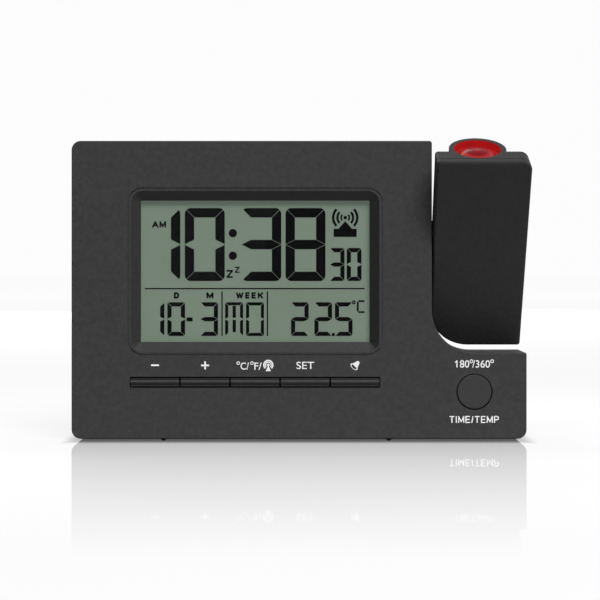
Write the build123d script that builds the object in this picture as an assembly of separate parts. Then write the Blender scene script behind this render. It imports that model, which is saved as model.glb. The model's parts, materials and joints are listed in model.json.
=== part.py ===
"""Bedside alarm clock with a tilting projector arm, in millimetres.

+X is right and +Y is back, seen from the front. +Z is up, from the table at z = 0.
Depths are measured backwards from the front face. The arm is drawn upright, flush with
the front face, and then tilted forward about its axle to the pose it is used in.
"""
import os
from math import sqrt

from build123d import *

# ---- front, from left to right and from bottom to top --------------------------------
FRONT_Y = -9.8  # front face, set so that the origin is under the middle of the whole
LEFT_MARGIN = 22.4  # left side to window
WINDOW_W = 74.6
RIGHT_MARGIN = 20.2  # window to the arm's notch
ARM_GAP = 0.5  # between the notch's wall and the arm
ARM_W = 30.3
FOOT_H = 0.7
BOTTOM_MARGIN = 16.6  # bottom to keys
KEY_H = 3.6
KEY_TO_WINDOW = 11.2
WINDOW_H = 46.1
TOP_MARGIN = 19.4
BODY_W = LEFT_MARGIN + WINDOW_W + RIGHT_MARGIN + ARM_GAP + ARM_W
BODY_H = BOTTOM_MARGIN + KEY_H + KEY_TO_WINDOW + WINDOW_H + TOP_MARGIN
BODY_L = -BODY_W / 2
BODY_R = BODY_W / 2
BODY_TOP = FOOT_H + BODY_H
NOTCH_X = BODY_R - ARM_W - ARM_GAP
WINDOW_X = BODY_L + LEFT_MARGIN + WINDOW_W / 2
WINDOW_Z = BODY_TOP - TOP_MARGIN - WINDOW_H / 2

# ---- fits ---------------------------------------------------------------------------
RUNNING = 0.08  # radial clearance of a part that turns or slides in a bore
SEAT = 0.05  # gap of a part that rests against another
LOOSE = 0.2  # gap round a button, the display's glass or a door
APART = 0.3  # between neighbouring posts, boards and frames

# ---- walls, corners and seam ----------------------------------------------------------
HOUSING_D = 17.0  # depth of the front housing; the rear cover makes up the rest
WALL = 2.0
FRONT_WALL = 2.2
CORNER_R = 3.0
SMALL_CORNER_R = 0.9
LEDGE_CORNER_R = 0.55  # the corner beside the ledge under the arm
EDGE_R = 0.4
NOTCH_R = 14.0
REAR_INSET = 1.2  # how far the rear cover stands in from the housing's outline
REAR_EDGE_R = 1.2
LIP_L = 2.0  # rim of the rear cover that locates inside the housing
LIP_T = 1.0

# ---- display stack, from the front wall to the board ------------------------------------
BEZEL_SLOPE = 3.1  # width of the sloping frame round the window
BEZEL_D = 1.7
BEZEL_R = 3.8
RIM_W = 0.65  # flat rim between the sloping frame and the groove round it
GROOVE_W = 0.45
GROOVE_D = 0.2
WINDOW_CORNER_R = 0.3
PANE_MARGIN = 2.7
PANE_T = 0.8
PANE_GAP = 0.2  # foam tape between pane and glass
GLASS_MARGIN = 3.7
GLASS_T = 1.1
CONTACT_LEDGE = 3.0  # strip of the front glass that the rear glass leaves free
GUIDE_T = 2.2
GUIDE_MARGIN = 1.7
FRAME_T = 1.8
FRAME_BACK_T = 1.4
ZEBRA_T = 1.8
ZEBRA_END = 4.0  # how much shorter than the glass the contact strips are, at each end
BOARD_T = 1.6
PANE_NEAR = FRONT_WALL
GLASS_NEAR = PANE_NEAR + PANE_T + PANE_GAP
GUIDE_NEAR = GLASS_NEAR + 2 * GLASS_T
BOARD_NEAR = GUIDE_NEAR + GUIDE_T + FRAME_BACK_T
BOARD_FAR = BOARD_NEAR + BOARD_T
FRAME_TOP = WINDOW_Z + WINDOW_H / 2 + GLASS_MARGIN + LOOSE + FRAME_T

# ---- battery compartment and door, which set the body's depth ----------------------------
CELL_L = 50.5
CELL_R = 7.25
CELL_GAP = 0.75
SPRING_SPACE = 6.0  # room for the contacts, beyond the cell's length
COMPONENT_ROOM = 3.4  # between board and compartment
BAY_WALL = 1.5
BAY_Z = 41.5
DOOR_T = 1.8
DOOR_LEDGE = 1.3
TONGUE_W = 6.0
TONGUE_T = 1.4
TONGUE_DROP = 1.5
TONGUE_X = 18.0  # from the door's middle to each tongue
GRIP_R = 7.0
GRIP_D = 0.9
PLATE_T = 0.4
PLATE_W = 11.0
NIPPLE_R = 2.6
NIPPLE_H = 0.8
COIL_R = 4.0
COIL_WIRE_R = 0.4
COIL_PITCH = 1.7
COIL_TURNS = 2.5
BAY_W = CELL_L + SPRING_SPACE
BAY_H = 2 * (2 * CELL_R + CELL_GAP)
BAY_FLOOR = BOARD_FAR + COMPONENT_ROOM + BAY_WALL
DOOR_NEAR = BAY_FLOOR + 2 * CELL_R + LOOSE
BODY_D = DOOR_NEAR + DOOR_T
REAR_INNER = BODY_D - WALL
DOOR_W = BAY_W + 2 * DOOR_LEDGE
DOOR_H = BAY_H + 2 * DOOR_LEDGE
DOOR_BOTTOM = BAY_Z - DOOR_H / 2

# ---- projector arm ------------------------------------------------------------------
TILT = 26.0  # forward from upright, in degrees
ARM_LENGTH = 66.5
ARM_T = 8.9
PIVOT_DEPTH = 10.0
SWING_GAP = 0.95  # between the arm's sweep and the ledge under it
ARM_SEAM = 2.8  # depth of the seam between the arm's shells
SHADOW_GAP = 0.25  # groove along that seam
ARM_WALL = 1.6
ARM_PLATE = 1.2
ARM_TOP_RIGHT_R = 3.0
ARM_SMALL_R = 0.9
ARM_EDGE_R = 0.8  # round the arm's front face
TUBE_IN = 13.9  # the arm's left side to the optical axis
TUBE_DEPTH = 11.1
TUBE_R = 9.25
TUBE_BORE_R = 7.6
TUBE_SHORT = 3.5  # how far the tube stops short of the arm's lower end
TUBE_FLOOR_T = 2.5
LAMP_BORE_R = 6.6
BORE_STEP = -6.0  # along the arm from the pivot
HUB_R = 7.5
AXLE_R = 4.0
AXLE_BORE_R = 2.2
AXLE_CLEAR = 0.02
HINGE_BOSS_R = 7.0
HINGE_BOSS_L = 3.0
WASHER_T = 0.8
WASHER_R = 6.6
CLIP_T = 0.7
CLIP_R = 6.2
CLIP_GROOVE_R = 3.4
CLIP_OPENING = 4.4
AXLE_TAIL = 0.9
ARM_SCREW_IN = 4.0  # from the arm's right side
ARM_SCREW_END = 9.25  # from the arm's ends
ARM_SCREW_R = 0.9
ARM_HEAD_R = 1.7
ARM_HEAD_T = 0.8
ARM_BOSS_R = 2.0
ARM_HALF = ARM_LENGTH / 2
ARM_SWEEP_R = NOTCH_R - ARM_GAP - 0.7
PIVOT_Z = BODY_TOP - ARM_HALF
LEDGE_Z = PIVOT_Z - sqrt(ARM_HALF**2 + PIVOT_DEPTH**2) - SWING_GAP
ARM_LEFT = NOTCH_X + ARM_GAP
ARM_MID = ARM_LEFT + ARM_W / 2
TUBE_X = ARM_LEFT + TUBE_IN
TUBE_Y = FRONT_Y + TUBE_DEPTH
TUBE_FOOT = TUBE_SHORT - ARM_HALF
LAMP_FLOOR = TUBE_FOOT + TUBE_FLOOR_T
AXLE_Y = FRONT_Y + PIVOT_DEPTH
AXLE_IN = TUBE_IN - TUBE_BORE_R - 0.5
BOSS_END = NOTCH_X - WALL - HINGE_BOSS_L
CLIP_X = BOSS_END - 2 * SEAT - WASHER_T

# ---- optics -------------------------------------------------------------------------
LED_BOARD_T = 1.0
LED_R = 2.5
LED_FLANGE_R = 2.9
LED_FLANGE_T = 1.0
LED_BODY_L = 4.5
HOLDER_L = 14.0
HOLDER_BORE_R = 5.2
CONDENSER_EDGE = 1.2
CONDENSER_RISE = 1.8
SLIDE_W = 9.0
SLIDE_T = 1.4
RETAINER_T = 2.0
RETAINER_BORE_R = 4.6
RIM_DEPTH = 2.3  # the barrel's top below the arm's top
BARREL_L = 21.3
BARREL_BORE_R = 5.6
LENS_R = 6.3
LENS_EDGE = 2.0
LENS_RISE = 2.0
FOCUS_UP = 1.3  # the focus ring's foot above the barrel's
FOCUS_L = 6.4
FOCUS_R = 9.65
FOCUS_GAP = 0.3
FOCUS_GROOVES = 30
FOCUS_GROOVE_R = 0.35
BARREL_FOOT = ARM_HALF - RIM_DEPTH - BARREL_L
FOCUS_FOOT = BARREL_FOOT + FOCUS_UP

# ---- keys and buttons ---------------------------------------------------------------
KEYS = ("key_minus", "key_plus", "key_unit", "key_set", "key_alarm")
KEY_ROW_SPARE = 0.55  # how much wider the row of keys is than the window's sloping frame
KEY_GAP = 0.55  # between neighbouring keys
KEY_ROOM = 0.4  # above and below a key
KEY_RIDGE = 0.6  # how far the ridge of a key stands out of the face
KEY_RIDGE_UP = 0.25  # the ridge above the key's middle
FLANGE_T = 1.0
FLANGE_LIP = 1.6
POST_R = 1.6
POST_ENTRY = 0.5  # how far a post reaches into its switch
PRESS = 0.8  # travel of every key and button
SWITCH_W = 6.0
SWITCH_T = 3.6
WELL_SPARE = 0.7  # left under a post that is pressed home
WELL_GAP = 0.3
BUTTON_R = 5.6
BUTTON_IN = 17.0  # from the body's right side to the button's middle
BUTTON_GAP = 0.3
BUTTON_LIP = 1.0
BUTTON_UP = 1.3  # above the middle of the block that it is in
SNOOZE_L = 56.0
SNOOZE_W = 10.0
SNOOZE_DEPTH = 9.0  # depth of the bar's middle
GRIP_GROOVES = 3
GRIP_PITCH = 2.2
GRIP_W = 0.7
GRIP_DEEP = 0.35
SNOOZE_SWITCH_H = 5.0
SNOOZE_SWITCH_T = 4.6
BUTTON_X = BODY_R - BUTTON_IN
KEY_PITCH = (WINDOW_W + 2 * BEZEL_SLOPE + KEY_ROW_SPARE) / len(KEYS)
KEY_Z = FOOT_H + BOTTOM_MARGIN + KEY_H / 2
BUTTON_Z = (FOOT_H + LEDGE_Z) / 2 + BUTTON_UP
SWITCH_WELL = POST_ENTRY + PRESS + WELL_SPARE

# ---- housing screws -----------------------------------------------------------------
BOSS_INSET = 6.5
BOSS_R = 3.0
PILOT_D = 9.0
PILOT_SPARE = 1.0  # left under a screw's tip
SCREW_R = 1.2
HEAD_R = 2.4
HEAD_T = 1.6
HEAD_SEAT_T = 3.0  # plastic under a screw's head
HOUSING_BOSSES = (
    (BODY_L + BOSS_INSET, BODY_TOP - BOSS_INSET), (NOTCH_X - BOSS_INSET, BODY_TOP - BOSS_INSET),
    (BODY_L + BOSS_INSET, FOOT_H + BOSS_INSET), (BODY_R - BOSS_INSET, FOOT_H + BOSS_INSET),
)

# ---- main board ---------------------------------------------------------------------
BOARD_BOSS_R = 2.3
BOARD_PILOT_D = 5.5
BOARD_SCREW_R = 1.0
BOARD_HEAD_R = 1.9
BOARD_HEAD_T = 1.2
TONGUE_CLEAR = 2.0  # between the board's tongue and the walls round it
CHIP_R = 6.5
CHIP_H = 1.6
CRYSTAL_R = 1.0
CRYSTAL_L = 6.0
CAPACITOR_R = 2.5
CAPACITOR_H = 5.4
CAPACITOR_PITCH = 7.0
RECEIVER_W = 14.0
RECEIVER_H = 10.0
RECEIVER_T = 1.0
SENSOR_R = 1.5
LAMP_W = 3.5
CHIP_LEFT = 6.0  # of the display's middle
RECEIVER_RIGHT = 20.0
CAPACITORS_RIGHT = 36.0
CHIP_DOWN = 27.0  # from the body's top
CAPACITORS_DOWN = 23.5
BOARD_EDGE = BOARD_BOSS_R + APART  # from a screw to the board's edge
BOARD_L = BODY_L + BOSS_INSET + BOSS_R + APART
BOARD_R = NOTCH_X - BOSS_INSET - BOSS_R - APART
BOARD_BOTTOM = FOOT_H + BOSS_INSET + BOSS_R + APART
BOARD_TOP = FRAME_TOP + APART + BOARD_BOSS_R + BOARD_EDGE
TONGUE_R = BODY_R - WALL - TONGUE_CLEAR
TONGUE_TOP = LEDGE_Z - WALL - TONGUE_CLEAR
BOARD_BOSSES = (
    (BOARD_L + BOARD_EDGE, BOARD_TOP - BOARD_EDGE), (BOARD_R - BOARD_EDGE, BOARD_TOP - BOARD_EDGE),
    (BOARD_L + BOARD_EDGE, BOARD_BOTTOM + BOARD_EDGE), (BOARD_R - BOARD_EDGE, BOARD_BOTTOM + BOARD_EDGE),
    (TONGUE_R - BOARD_EDGE, TONGUE_TOP - BOARD_EDGE),
)
CHIP_X = WINDOW_X - CHIP_LEFT
CHIP_Z = BODY_TOP - CHIP_DOWN
RECEIVER_X = WINDOW_X + RECEIVER_RIGHT
RECEIVER_Z = CHIP_Z
CAPACITOR_X = WINDOW_X + CAPACITORS_RIGHT
CAPACITOR_Z = BODY_TOP - CAPACITORS_DOWN

# ---- rear: buzzer, aerial, supply socket, vents, feet --------------------------------
POCKET_GAP = 1.5  # between the buzzer's ring and the walls beside it
RIB_T = 1.5
BUZZER_R = 8.6
BUZZER_T = 3.4
SOUND_HOLE_R = 0.8
SOUND_RING_R = 3.6
SOUND_HOLES = 6
ROD_R = 4.0
ROD_L = 58.0
ROD_FROM_TOP = 13.6
ROD_FROM_REAR = 7.5
COIL_FORM_R = 5.6
COIL_FORM_L = 20.0
SADDLE_T = 3.0
SADDLE_X = 22.0
JACK_W = 9.0
JACK_H = 11.0
JACK_D = 11.5
JACK_BORE_R = 2.85
JACK_BORE_D = 9.5
JACK_PIN_R = 0.95
JACK_HOLE_R = 3.4
VENTS = 5
VENT_W = 8.0
VENT_H = 1.4
VENT_PITCH = 3.2
VENT_Z = 20.0
FOOT_R = 4.5
FOOT_RECESS = 0.6
FOOT_IN = 16.0
FOOT_FROM_REAR = 7.0
NUB_R = 1.0
NUB_L = 8.0
NUB_START = 0.8
NUB_LEFT_IN = 29.9  # from the body's left side
NUB_RIGHT_IN = 14.0  # from the notch's wall
BUZZER_X = BODY_L + REAR_INSET + WALL + POCKET_GAP + RIB_T / 2 + BUZZER_R
BUZZER_Z = BAY_Z
BAY_X = BUZZER_X + BUZZER_R + RIB_T / 2 + POCKET_GAP + BAY_WALL + BAY_W / 2
ROD_X = BAY_X
ROD_Z = BODY_TOP - ROD_FROM_TOP
ROD_DEPTH = REAR_INNER - ROD_FROM_REAR
JACK_X = BUTTON_X
JACK_Z = (FOOT_H + LEDGE_Z) / 2
VENT_X = BUZZER_X
SENSOR_X = VENT_X + SENSOR_R
SENSOR_Z = VENT_Z
FOOT_X = BODY_R - FOOT_IN
FOOT_DEPTH = BODY_D - FOOT_FROM_REAR
NUBS_X = (BODY_L + NUB_LEFT_IN, NOTCH_X - NUB_RIGHT_IN)


# ---- helpers ------------------------------------------------------------------------
def slab(sketch, near, far):
    """A sketch in X and Z made solid from depth near to depth far."""
    plane = Plane(origin=(0, FRONT_Y + far, 0), x_dir=(1, 0, 0), z_dir=(0, -1, 0))
    return extrude(plane * sketch, far - near)


def panel(width, height, x, z, radius=0.0):
    """A rectangle in X and Z about its middle, with rounded corners if asked."""
    outline = RectangleRounded(width, height, radius) if radius else Rectangle(width, height)
    return Pos(x, z) * outline


def disc(radius, x, z):
    return Pos(x, z) * Circle(radius)


def bar_x(radius, left, right, y, z):
    return Pos((left + right) / 2, y, z) * Rot(Y=90) * Cylinder(radius, right - left)


def bar_z(radius, low, high, x, y):
    return Pos(x, y, (low + high) / 2) * Cylinder(radius, high - low)


def rounded(points, radii):
    """A closed outline with a radius at each of its corners."""
    outline = make_face(Polyline(*points, close=True))
    for (x, z), radius in zip(points, radii):
        outline = fillet(outline.vertices().sort_by_distance((x, z, 0))[0], radius)
    return outline


def body_outline(inset, least_r=SMALL_CORNER_R, ledge_r=LEDGE_CORNER_R):
    """The body seen from the front, with the arm's notch at the upper right."""
    left, right = BODY_L + inset, BODY_R - inset
    bottom, top = FOOT_H + inset, BODY_TOP - inset
    wall, ledge = NOTCH_X - inset, LEDGE_Z - inset
    outer = max(CORNER_R - inset, least_r)
    points = ((left, bottom), (right, bottom), (right, ledge), (wall, ledge), (wall, top), (left, top))
    return rounded(points, (outer, outer, ledge_r, NOTCH_R + inset, least_r, outer))


def arm_outline(inset):
    """The arm seen from the front, upright in its notch."""
    left, right = ARM_LEFT + inset, ARM_LEFT + ARM_W - inset
    low, high = PIVOT_Z - ARM_HALF + inset, PIVOT_Z + ARM_HALF - inset
    small = max(ARM_SMALL_R - inset, ARM_SMALL_R / 2)
    corner = max(ARM_TOP_RIGHT_R - inset, small)
    points = ((left, low), (right, low), (right, high), (left, high))
    return rounded(points, (ARM_SWEEP_R - inset, small, corner, small))


def tube_bar(radius, low, high):
    """A round bar on the optical axis, between two stations along the arm."""
    return bar_z(radius, PIVOT_Z + low, PIVOT_Z + high, TUBE_X, TUBE_Y)


def dome(base_r, rise):
    """A spherical cap on the XY plane, its flat side down."""
    sphere_r = (base_r**2 + rise**2) / (2 * rise)
    return Pos(0, 0, rise - sphere_r) * Sphere(sphere_r) & Pos(0, 0, rise / 2) * Cylinder(base_r, rise)


def screw(shank_r, shank_l, head_r, head_t, x, z, seat):
    """A screw driven from behind, its head seated on the plane at depth seat."""
    return slab(disc(head_r, x, z), seat, seat + head_t) + slab(disc(shank_r, x, z), seat - shank_l, seat)


def tilted(shape):
    """Swing a piece of the upright arm forward about the axle."""
    return Pos(0, AXLE_Y, PIVOT_Z) * Rot(X=TILT) * Pos(0, -AXLE_Y, -PIVOT_Z) * shape


# ---- housing ------------------------------------------------------------------------
def bezel_cut():
    """The window through the front wall, widening to the front as a sloping frame."""
    wide = panel(WINDOW_W + 2 * BEZEL_SLOPE, WINDOW_H + 2 * BEZEL_SLOPE, WINDOW_X, WINDOW_Z, BEZEL_R)
    narrow = panel(WINDOW_W, WINDOW_H, WINDOW_X, WINDOW_Z, WINDOW_CORNER_R)
    front = Plane(origin=(0, FRONT_Y, 0), x_dir=(1, 0, 0), z_dir=(0, -1, 0))
    slope = loft([front * wide, front.offset(-BEZEL_D) * narrow], ruled=True)
    return slope + slab(narrow, BEZEL_D, FRONT_WALL)


def rim_groove():
    """A fine groove that sets the window's rim off from the face."""
    outlines = []
    for out in (BEZEL_SLOPE + RIM_W + GROOVE_W, BEZEL_SLOPE + RIM_W):
        radius = BEZEL_R - BEZEL_SLOPE + out
        outlines.append(panel(WINDOW_W + 2 * out, WINDOW_H + 2 * out, WINDOW_X, WINDOW_Z, radius))
    return slab(outlines[0] - outlines[1], 0, GROOVE_D)


def front_bosses():
    """Posts on the front wall for the board, and in the corners for the rear cover."""
    posts = []
    for x, z in BOARD_BOSSES:
        post = slab(disc(BOARD_BOSS_R, x, z), FRONT_WALL, BOARD_NEAR)
        posts.append(post - slab(disc(BOARD_SCREW_R + SEAT, x, z), BOARD_NEAR - BOARD_PILOT_D, BOARD_NEAR))
    for x, z in HOUSING_BOSSES:
        post = slab(disc(BOSS_R, x, z), FRONT_WALL, HOUSING_D)
        posts.append(post - slab(disc(SCREW_R + SEAT, x, z), HOUSING_D - PILOT_D, HOUSING_D))
    return posts


def front_housing():
    shell = slab(body_outline(0), 0, HOUSING_D)
    shell = fillet(shell.faces().sort_by(Axis.Y)[0].edges(), EDGE_R)
    shell -= slab(body_outline(WALL), FRONT_WALL, HOUSING_D)
    for post in front_bosses():
        shell += post
    shell += bar_x(HINGE_BOSS_R, BOSS_END, NOTCH_X - WALL, AXLE_Y, PIVOT_Z)
    inside = slab(body_outline(EDGE_R), 0, HOUSING_D)
    for x in NUBS_X:
        shell += slab(disc(NUB_R, x, NUB_R), NUB_START, NUB_START + NUB_L) - inside
    shell -= bezel_cut()
    shell -= rim_groove()
    shell -= slab(panel(len(KEYS) * KEY_PITCH, KEY_H, WINDOW_X, KEY_Z), 0, FRONT_WALL)
    shell -= slab(disc(BUTTON_R + BUTTON_GAP, BUTTON_X, BUTTON_Z), 0, FRONT_WALL)
    shell -= bar_x(AXLE_R + RUNNING, BOSS_END, NOTCH_X, AXLE_Y, PIVOT_Z)
    slot = Box(SNOOZE_L + 2 * LOOSE, SNOOZE_W + 2 * LOOSE, 2 * WALL)
    return shell - Pos(WINDOW_X, FRONT_Y + SNOOZE_DEPTH, BODY_TOP) * slot


def battery_bay():
    """The compartment's outside, from behind its floor to the door's ledge."""
    outer = panel(BAY_W + 2 * BAY_WALL, BAY_H + 2 * BAY_WALL, BAY_X, BAY_Z)
    return slab(outer, BAY_FLOOR - BAY_WALL, DOOR_NEAR)


def bay_cuts():
    """The compartment's inside, and slots in its lower wall for the door's tongues."""
    cuts = [slab(panel(BAY_W, BAY_H, BAY_X, BAY_Z), BAY_FLOOR, DOOR_NEAR)]
    slot_d = 2 * TONGUE_T + 2 * LOOSE
    for side in (-1, 1):
        x = BAY_X + side * TONGUE_X
        slot = panel(TONGUE_W + 4 * LOOSE, BAY_WALL + LOOSE, x, DOOR_BOTTOM - LOOSE + (BAY_WALL + LOOSE) / 2)
        cuts.append(slab(slot, DOOR_NEAR - slot_d, DOOR_NEAR))
    return cuts


def aerial_saddles():
    """Two ribs on the rear wall with half-round seats for the ferrite rod."""
    ribs = []
    for side in (-1, 1):
        x = ROD_X + side * SADDLE_X
        rib = slab(panel(SADDLE_T, 2 * ROD_R, x, ROD_Z), ROD_DEPTH, REAR_INNER)
        ribs.append(rib - bar_x(ROD_R + SEAT, x - SADDLE_T, x + SADDLE_T, FRONT_Y + ROD_DEPTH, ROD_Z))
    return ribs


def buzzer_ring():
    wall = disc(BUZZER_R + SEAT + RIB_T / 2, BUZZER_X, BUZZER_Z) - disc(BUZZER_R + SEAT, BUZZER_X, BUZZER_Z)
    return slab(wall, REAR_INNER - BUZZER_T, REAR_INNER)


def jack_pocket():
    """A low wall on all four sides of the supply socket."""
    inner = panel(JACK_W + 2 * SEAT, JACK_H + 2 * SEAT, JACK_X, JACK_Z)
    outer = panel(JACK_W + 2 * SEAT + 2 * RIB_T, JACK_H + 2 * SEAT + 2 * RIB_T, JACK_X, JACK_Z)
    return slab(outer - inner, REAR_INNER - JACK_D / 2, REAR_INNER)


def rear_holes():
    """Everything that goes through the rear wall, apart from the screws."""
    cuts = [slab(panel(DOOR_W + 2 * LOOSE, DOOR_H + 2 * LOOSE, BAY_X, BAY_Z), DOOR_NEAR, BODY_D)]
    cuts.append(slab(disc(JACK_HOLE_R, JACK_X, JACK_Z), REAR_INNER, BODY_D))
    for place in PolarLocations(SOUND_RING_R, SOUND_HOLES):
        cuts.append(slab(Pos(BUZZER_X, BUZZER_Z) * place * Circle(SOUND_HOLE_R), REAR_INNER, BODY_D))
    for place in GridLocations(VENT_W, VENT_PITCH, 1, VENTS):
        cuts.append(slab(Pos(VENT_X, VENT_Z) * place * SlotOverall(VENT_W, VENT_H), REAR_INNER, BODY_D))
    return cuts


def rear_cover():
    corner_r = REAR_EDGE_R + EDGE_R
    shell = slab(body_outline(REAR_INSET, corner_r, corner_r), HOUSING_D, BODY_D)
    shell = fillet(shell.faces().sort_by(Axis.Y)[-1].edges(), REAR_EDGE_R)
    shell -= slab(body_outline(REAR_INSET + WALL), HOUSING_D, REAR_INNER)
    lip = body_outline(WALL + LOOSE / 2) - body_outline(WALL + LOOSE / 2 + LIP_T)
    lip_ring = slab(lip, HOUSING_D - LIP_L, HOUSING_D)
    hinge_room = panel(2 * HINGE_BOSS_L, 2 * HINGE_BOSS_R + 4 * LOOSE, NOTCH_X - WALL, PIVOT_Z)
    bar_room = panel(SNOOZE_L + 4 * BUTTON_LIP, 4 * WALL, WINDOW_X, BODY_TOP - WALL)
    shell += lip_ring - slab(hinge_room + bar_room, HOUSING_D - LIP_L, HOUSING_D)
    for x, z in HOUSING_BOSSES:
        shell += slab(disc(BOSS_R + RIB_T / 2, x, z), HOUSING_D, REAR_INNER)
    for rib in aerial_saddles():
        shell += rib
    shell += buzzer_ring()
    shell += jack_pocket()
    for cut in rear_holes():
        shell -= cut
    shell += battery_bay()
    for cut in bay_cuts():
        shell -= cut
    for x, z in HOUSING_BOSSES:
        shell -= slab(disc(HEAD_R + LOOSE, x, z), HOUSING_D + HEAD_SEAT_T, BODY_D)
        shell -= slab(disc(SCREW_R + LOOSE, x, z), HOUSING_D, HOUSING_D + HEAD_SEAT_T)
    for x in (-FOOT_X, FOOT_X):
        bottom = FOOT_H + REAR_INSET
        shell -= bar_z(FOOT_R + SEAT, bottom, bottom + FOOT_RECESS, x, FRONT_Y + FOOT_DEPTH)
    return shell


def housing_screws():
    shank = PILOT_D + HEAD_SEAT_T - PILOT_SPARE
    return [screw(SCREW_R, shank, HEAD_R, HEAD_T, x, z, HOUSING_D + HEAD_SEAT_T) for x, z in HOUSING_BOSSES]


def rear_feet():
    top = FOOT_H + REAR_INSET + FOOT_RECESS
    return [bar_z(FOOT_R, 0, top, x, FRONT_Y + FOOT_DEPTH) for x in (-FOOT_X, FOOT_X)]


def battery_door():
    """A flush door that tips out on two tongues, with a thumb recess near its top."""
    door = slab(panel(DOOR_W, DOOR_H, BAY_X, BAY_Z), DOOR_NEAR, BODY_D)
    for side in (-1, 1):
        x = BAY_X + side * TONGUE_X
        far = REAR_INNER - LOOSE / 2
        hook = panel(TONGUE_W, 2 * TONGUE_DROP, x, DOOR_BOTTOM)
        root = panel(TONGUE_W, TONGUE_DROP, x, DOOR_BOTTOM + TONGUE_DROP)
        door += slab(hook, far - TONGUE_T, far) + slab(root, far - TONGUE_T, DOOR_NEAR)
    grip = Pos(BAY_X, FRONT_Y + BODY_D + GRIP_R - GRIP_D, BAY_Z + DOOR_H / 2 - GRIP_R) * Rot(Y=90)
    return door - grip * Cylinder(GRIP_R, 2 * GRIP_R)


# ---- display stack ------------------------------------------------------------------
def window_panel(margin, height_cut=0.0):
    return panel(WINDOW_W + 2 * margin, WINDOW_H + 2 * margin - height_cut, WINDOW_X, WINDOW_Z)


def display_window():
    return slab(window_panel(PANE_MARGIN), PANE_NEAR, PANE_NEAR + PANE_T)


def lcd_glass():
    """Two panes; the front one is taller and bares its contact strips to the rear."""
    front = slab(window_panel(GLASS_MARGIN), GLASS_NEAR, GLASS_NEAR + GLASS_T)
    return front + slab(window_panel(GLASS_MARGIN, 2 * CONTACT_LEDGE), GLASS_NEAR + GLASS_T, GUIDE_NEAR)


def backlight_guide():
    height = WINDOW_H + 2 * GLASS_MARGIN - 2 * CONTACT_LEDGE
    guide = panel(WINDOW_W + 2 * GUIDE_MARGIN, height, WINDOW_X, WINDOW_Z)
    return slab(guide, GUIDE_NEAR, GUIDE_NEAR + GUIDE_T)


def zebra_panel(margin, side):
    z = WINDOW_Z + side * (WINDOW_H / 2 + GLASS_MARGIN - CONTACT_LEDGE / 2)
    return panel(WINDOW_W + 2 * GLASS_MARGIN - 2 * ZEBRA_END + 2 * margin, ZEBRA_T + 2 * margin, WINDOW_X, z)


def zebra_strips():
    return [slab(zebra_panel(0, side), GLASS_NEAR + GLASS_T, BOARD_NEAR) for side in (-1, 1)]


def lcd_frame():
    """The tray that holds pane, glass and guide against the front, and seats on the board."""
    outline = window_panel(GLASS_MARGIN + LOOSE + FRAME_T)
    tray = slab(outline, FRONT_WALL, BOARD_NEAR)
    tray -= slab(window_panel(GLASS_MARGIN + LOOSE), FRONT_WALL, GUIDE_NEAR + GUIDE_T)
    for side in (-1, 1):
        tray -= slab(zebra_panel(LOOSE, side), GUIDE_NEAR, BOARD_NEAR)
    return tray


# ---- board and what it carries ------------------------------------------------------
def main_board():
    """An L-shaped board: behind the display, with a tongue to the round button's switch."""
    corners = ((BOARD_L, BOARD_BOTTOM), (TONGUE_R, BOARD_BOTTOM), (TONGUE_R, TONGUE_TOP),
               (BOARD_R, TONGUE_TOP), (BOARD_R, BOARD_TOP), (BOARD_L, BOARD_TOP))
    board = slab(make_face(Polyline(*corners, close=True)), BOARD_NEAR, BOARD_FAR)
    for x, z in BOARD_BOSSES:
        board -= slab(disc(BOARD_SCREW_R + SEAT, x, z), BOARD_NEAR, BOARD_FAR)
    return board


def board_screws():
    shank = BOARD_PILOT_D + BOARD_T - PILOT_SPARE
    return [screw(BOARD_SCREW_R, shank, BOARD_HEAD_R, BOARD_HEAD_T, x, z, BOARD_FAR) for x, z in BOARD_BOSSES]


def facing_back(x, z):
    """The place on the board's rear face at x, z, with its local Z pointing back."""
    return Pos(x, FRONT_Y + BOARD_FAR, z) * Rot(X=-90)


def controller_chip():
    return facing_back(CHIP_X, CHIP_Z) * dome(CHIP_R, CHIP_H)


def clock_crystal():
    x = CHIP_X + CHIP_R + CRYSTAL_L / 2
    return bar_x(CRYSTAL_R, x, x + CRYSTAL_L, FRONT_Y + BOARD_FAR + CRYSTAL_R, CHIP_Z)


def capacitors():
    cans = []
    for side in (-1, 1):
        outline = disc(CAPACITOR_R, CAPACITOR_X, CAPACITOR_Z + side * CAPACITOR_PITCH / 2)
        can = slab(outline, BOARD_FAR, BOARD_FAR + CAPACITOR_H)
        cans.append(fillet(can.faces().sort_by(Axis.Y)[-1].edges(), EDGE_R))
    return cans


def receiver_module():
    return slab(panel(RECEIVER_W, RECEIVER_H, RECEIVER_X, RECEIVER_Z), BOARD_FAR, BOARD_FAR + RECEIVER_T)


def temperature_sensor():
    bead = Pos(0, 0, SENSOR_R) * Sphere(SENSOR_R)
    legs = Pos(0, 0, SENSOR_R / 2) * Box(SENSOR_R, SENSOR_R / 2, SENSOR_R)
    return facing_back(SENSOR_X, SENSOR_Z) * (bead + legs)


def backlight_lamp():
    x = WINDOW_X - WINDOW_W / 2 - GLASS_MARGIN - LOOSE - FRAME_T - LAMP_W / 2
    return slab(panel(LAMP_W, LAMP_W, x, WINDOW_Z), BOARD_NEAR - LAMP_W / 2, BOARD_NEAR)


def key_place(index):
    return WINDOW_X + (index - (len(KEYS) - 1) / 2) * KEY_PITCH


def press_switch(x, z):
    """A square switch on the board's front, with a well for the post that presses it."""
    body = slab(panel(SWITCH_W, SWITCH_W, x, z), BOARD_NEAR - SWITCH_T, BOARD_NEAR)
    near = BOARD_NEAR - SWITCH_T
    return body - slab(disc(POST_R + WELL_GAP, x, z), near, near + SWITCH_WELL)


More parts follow.
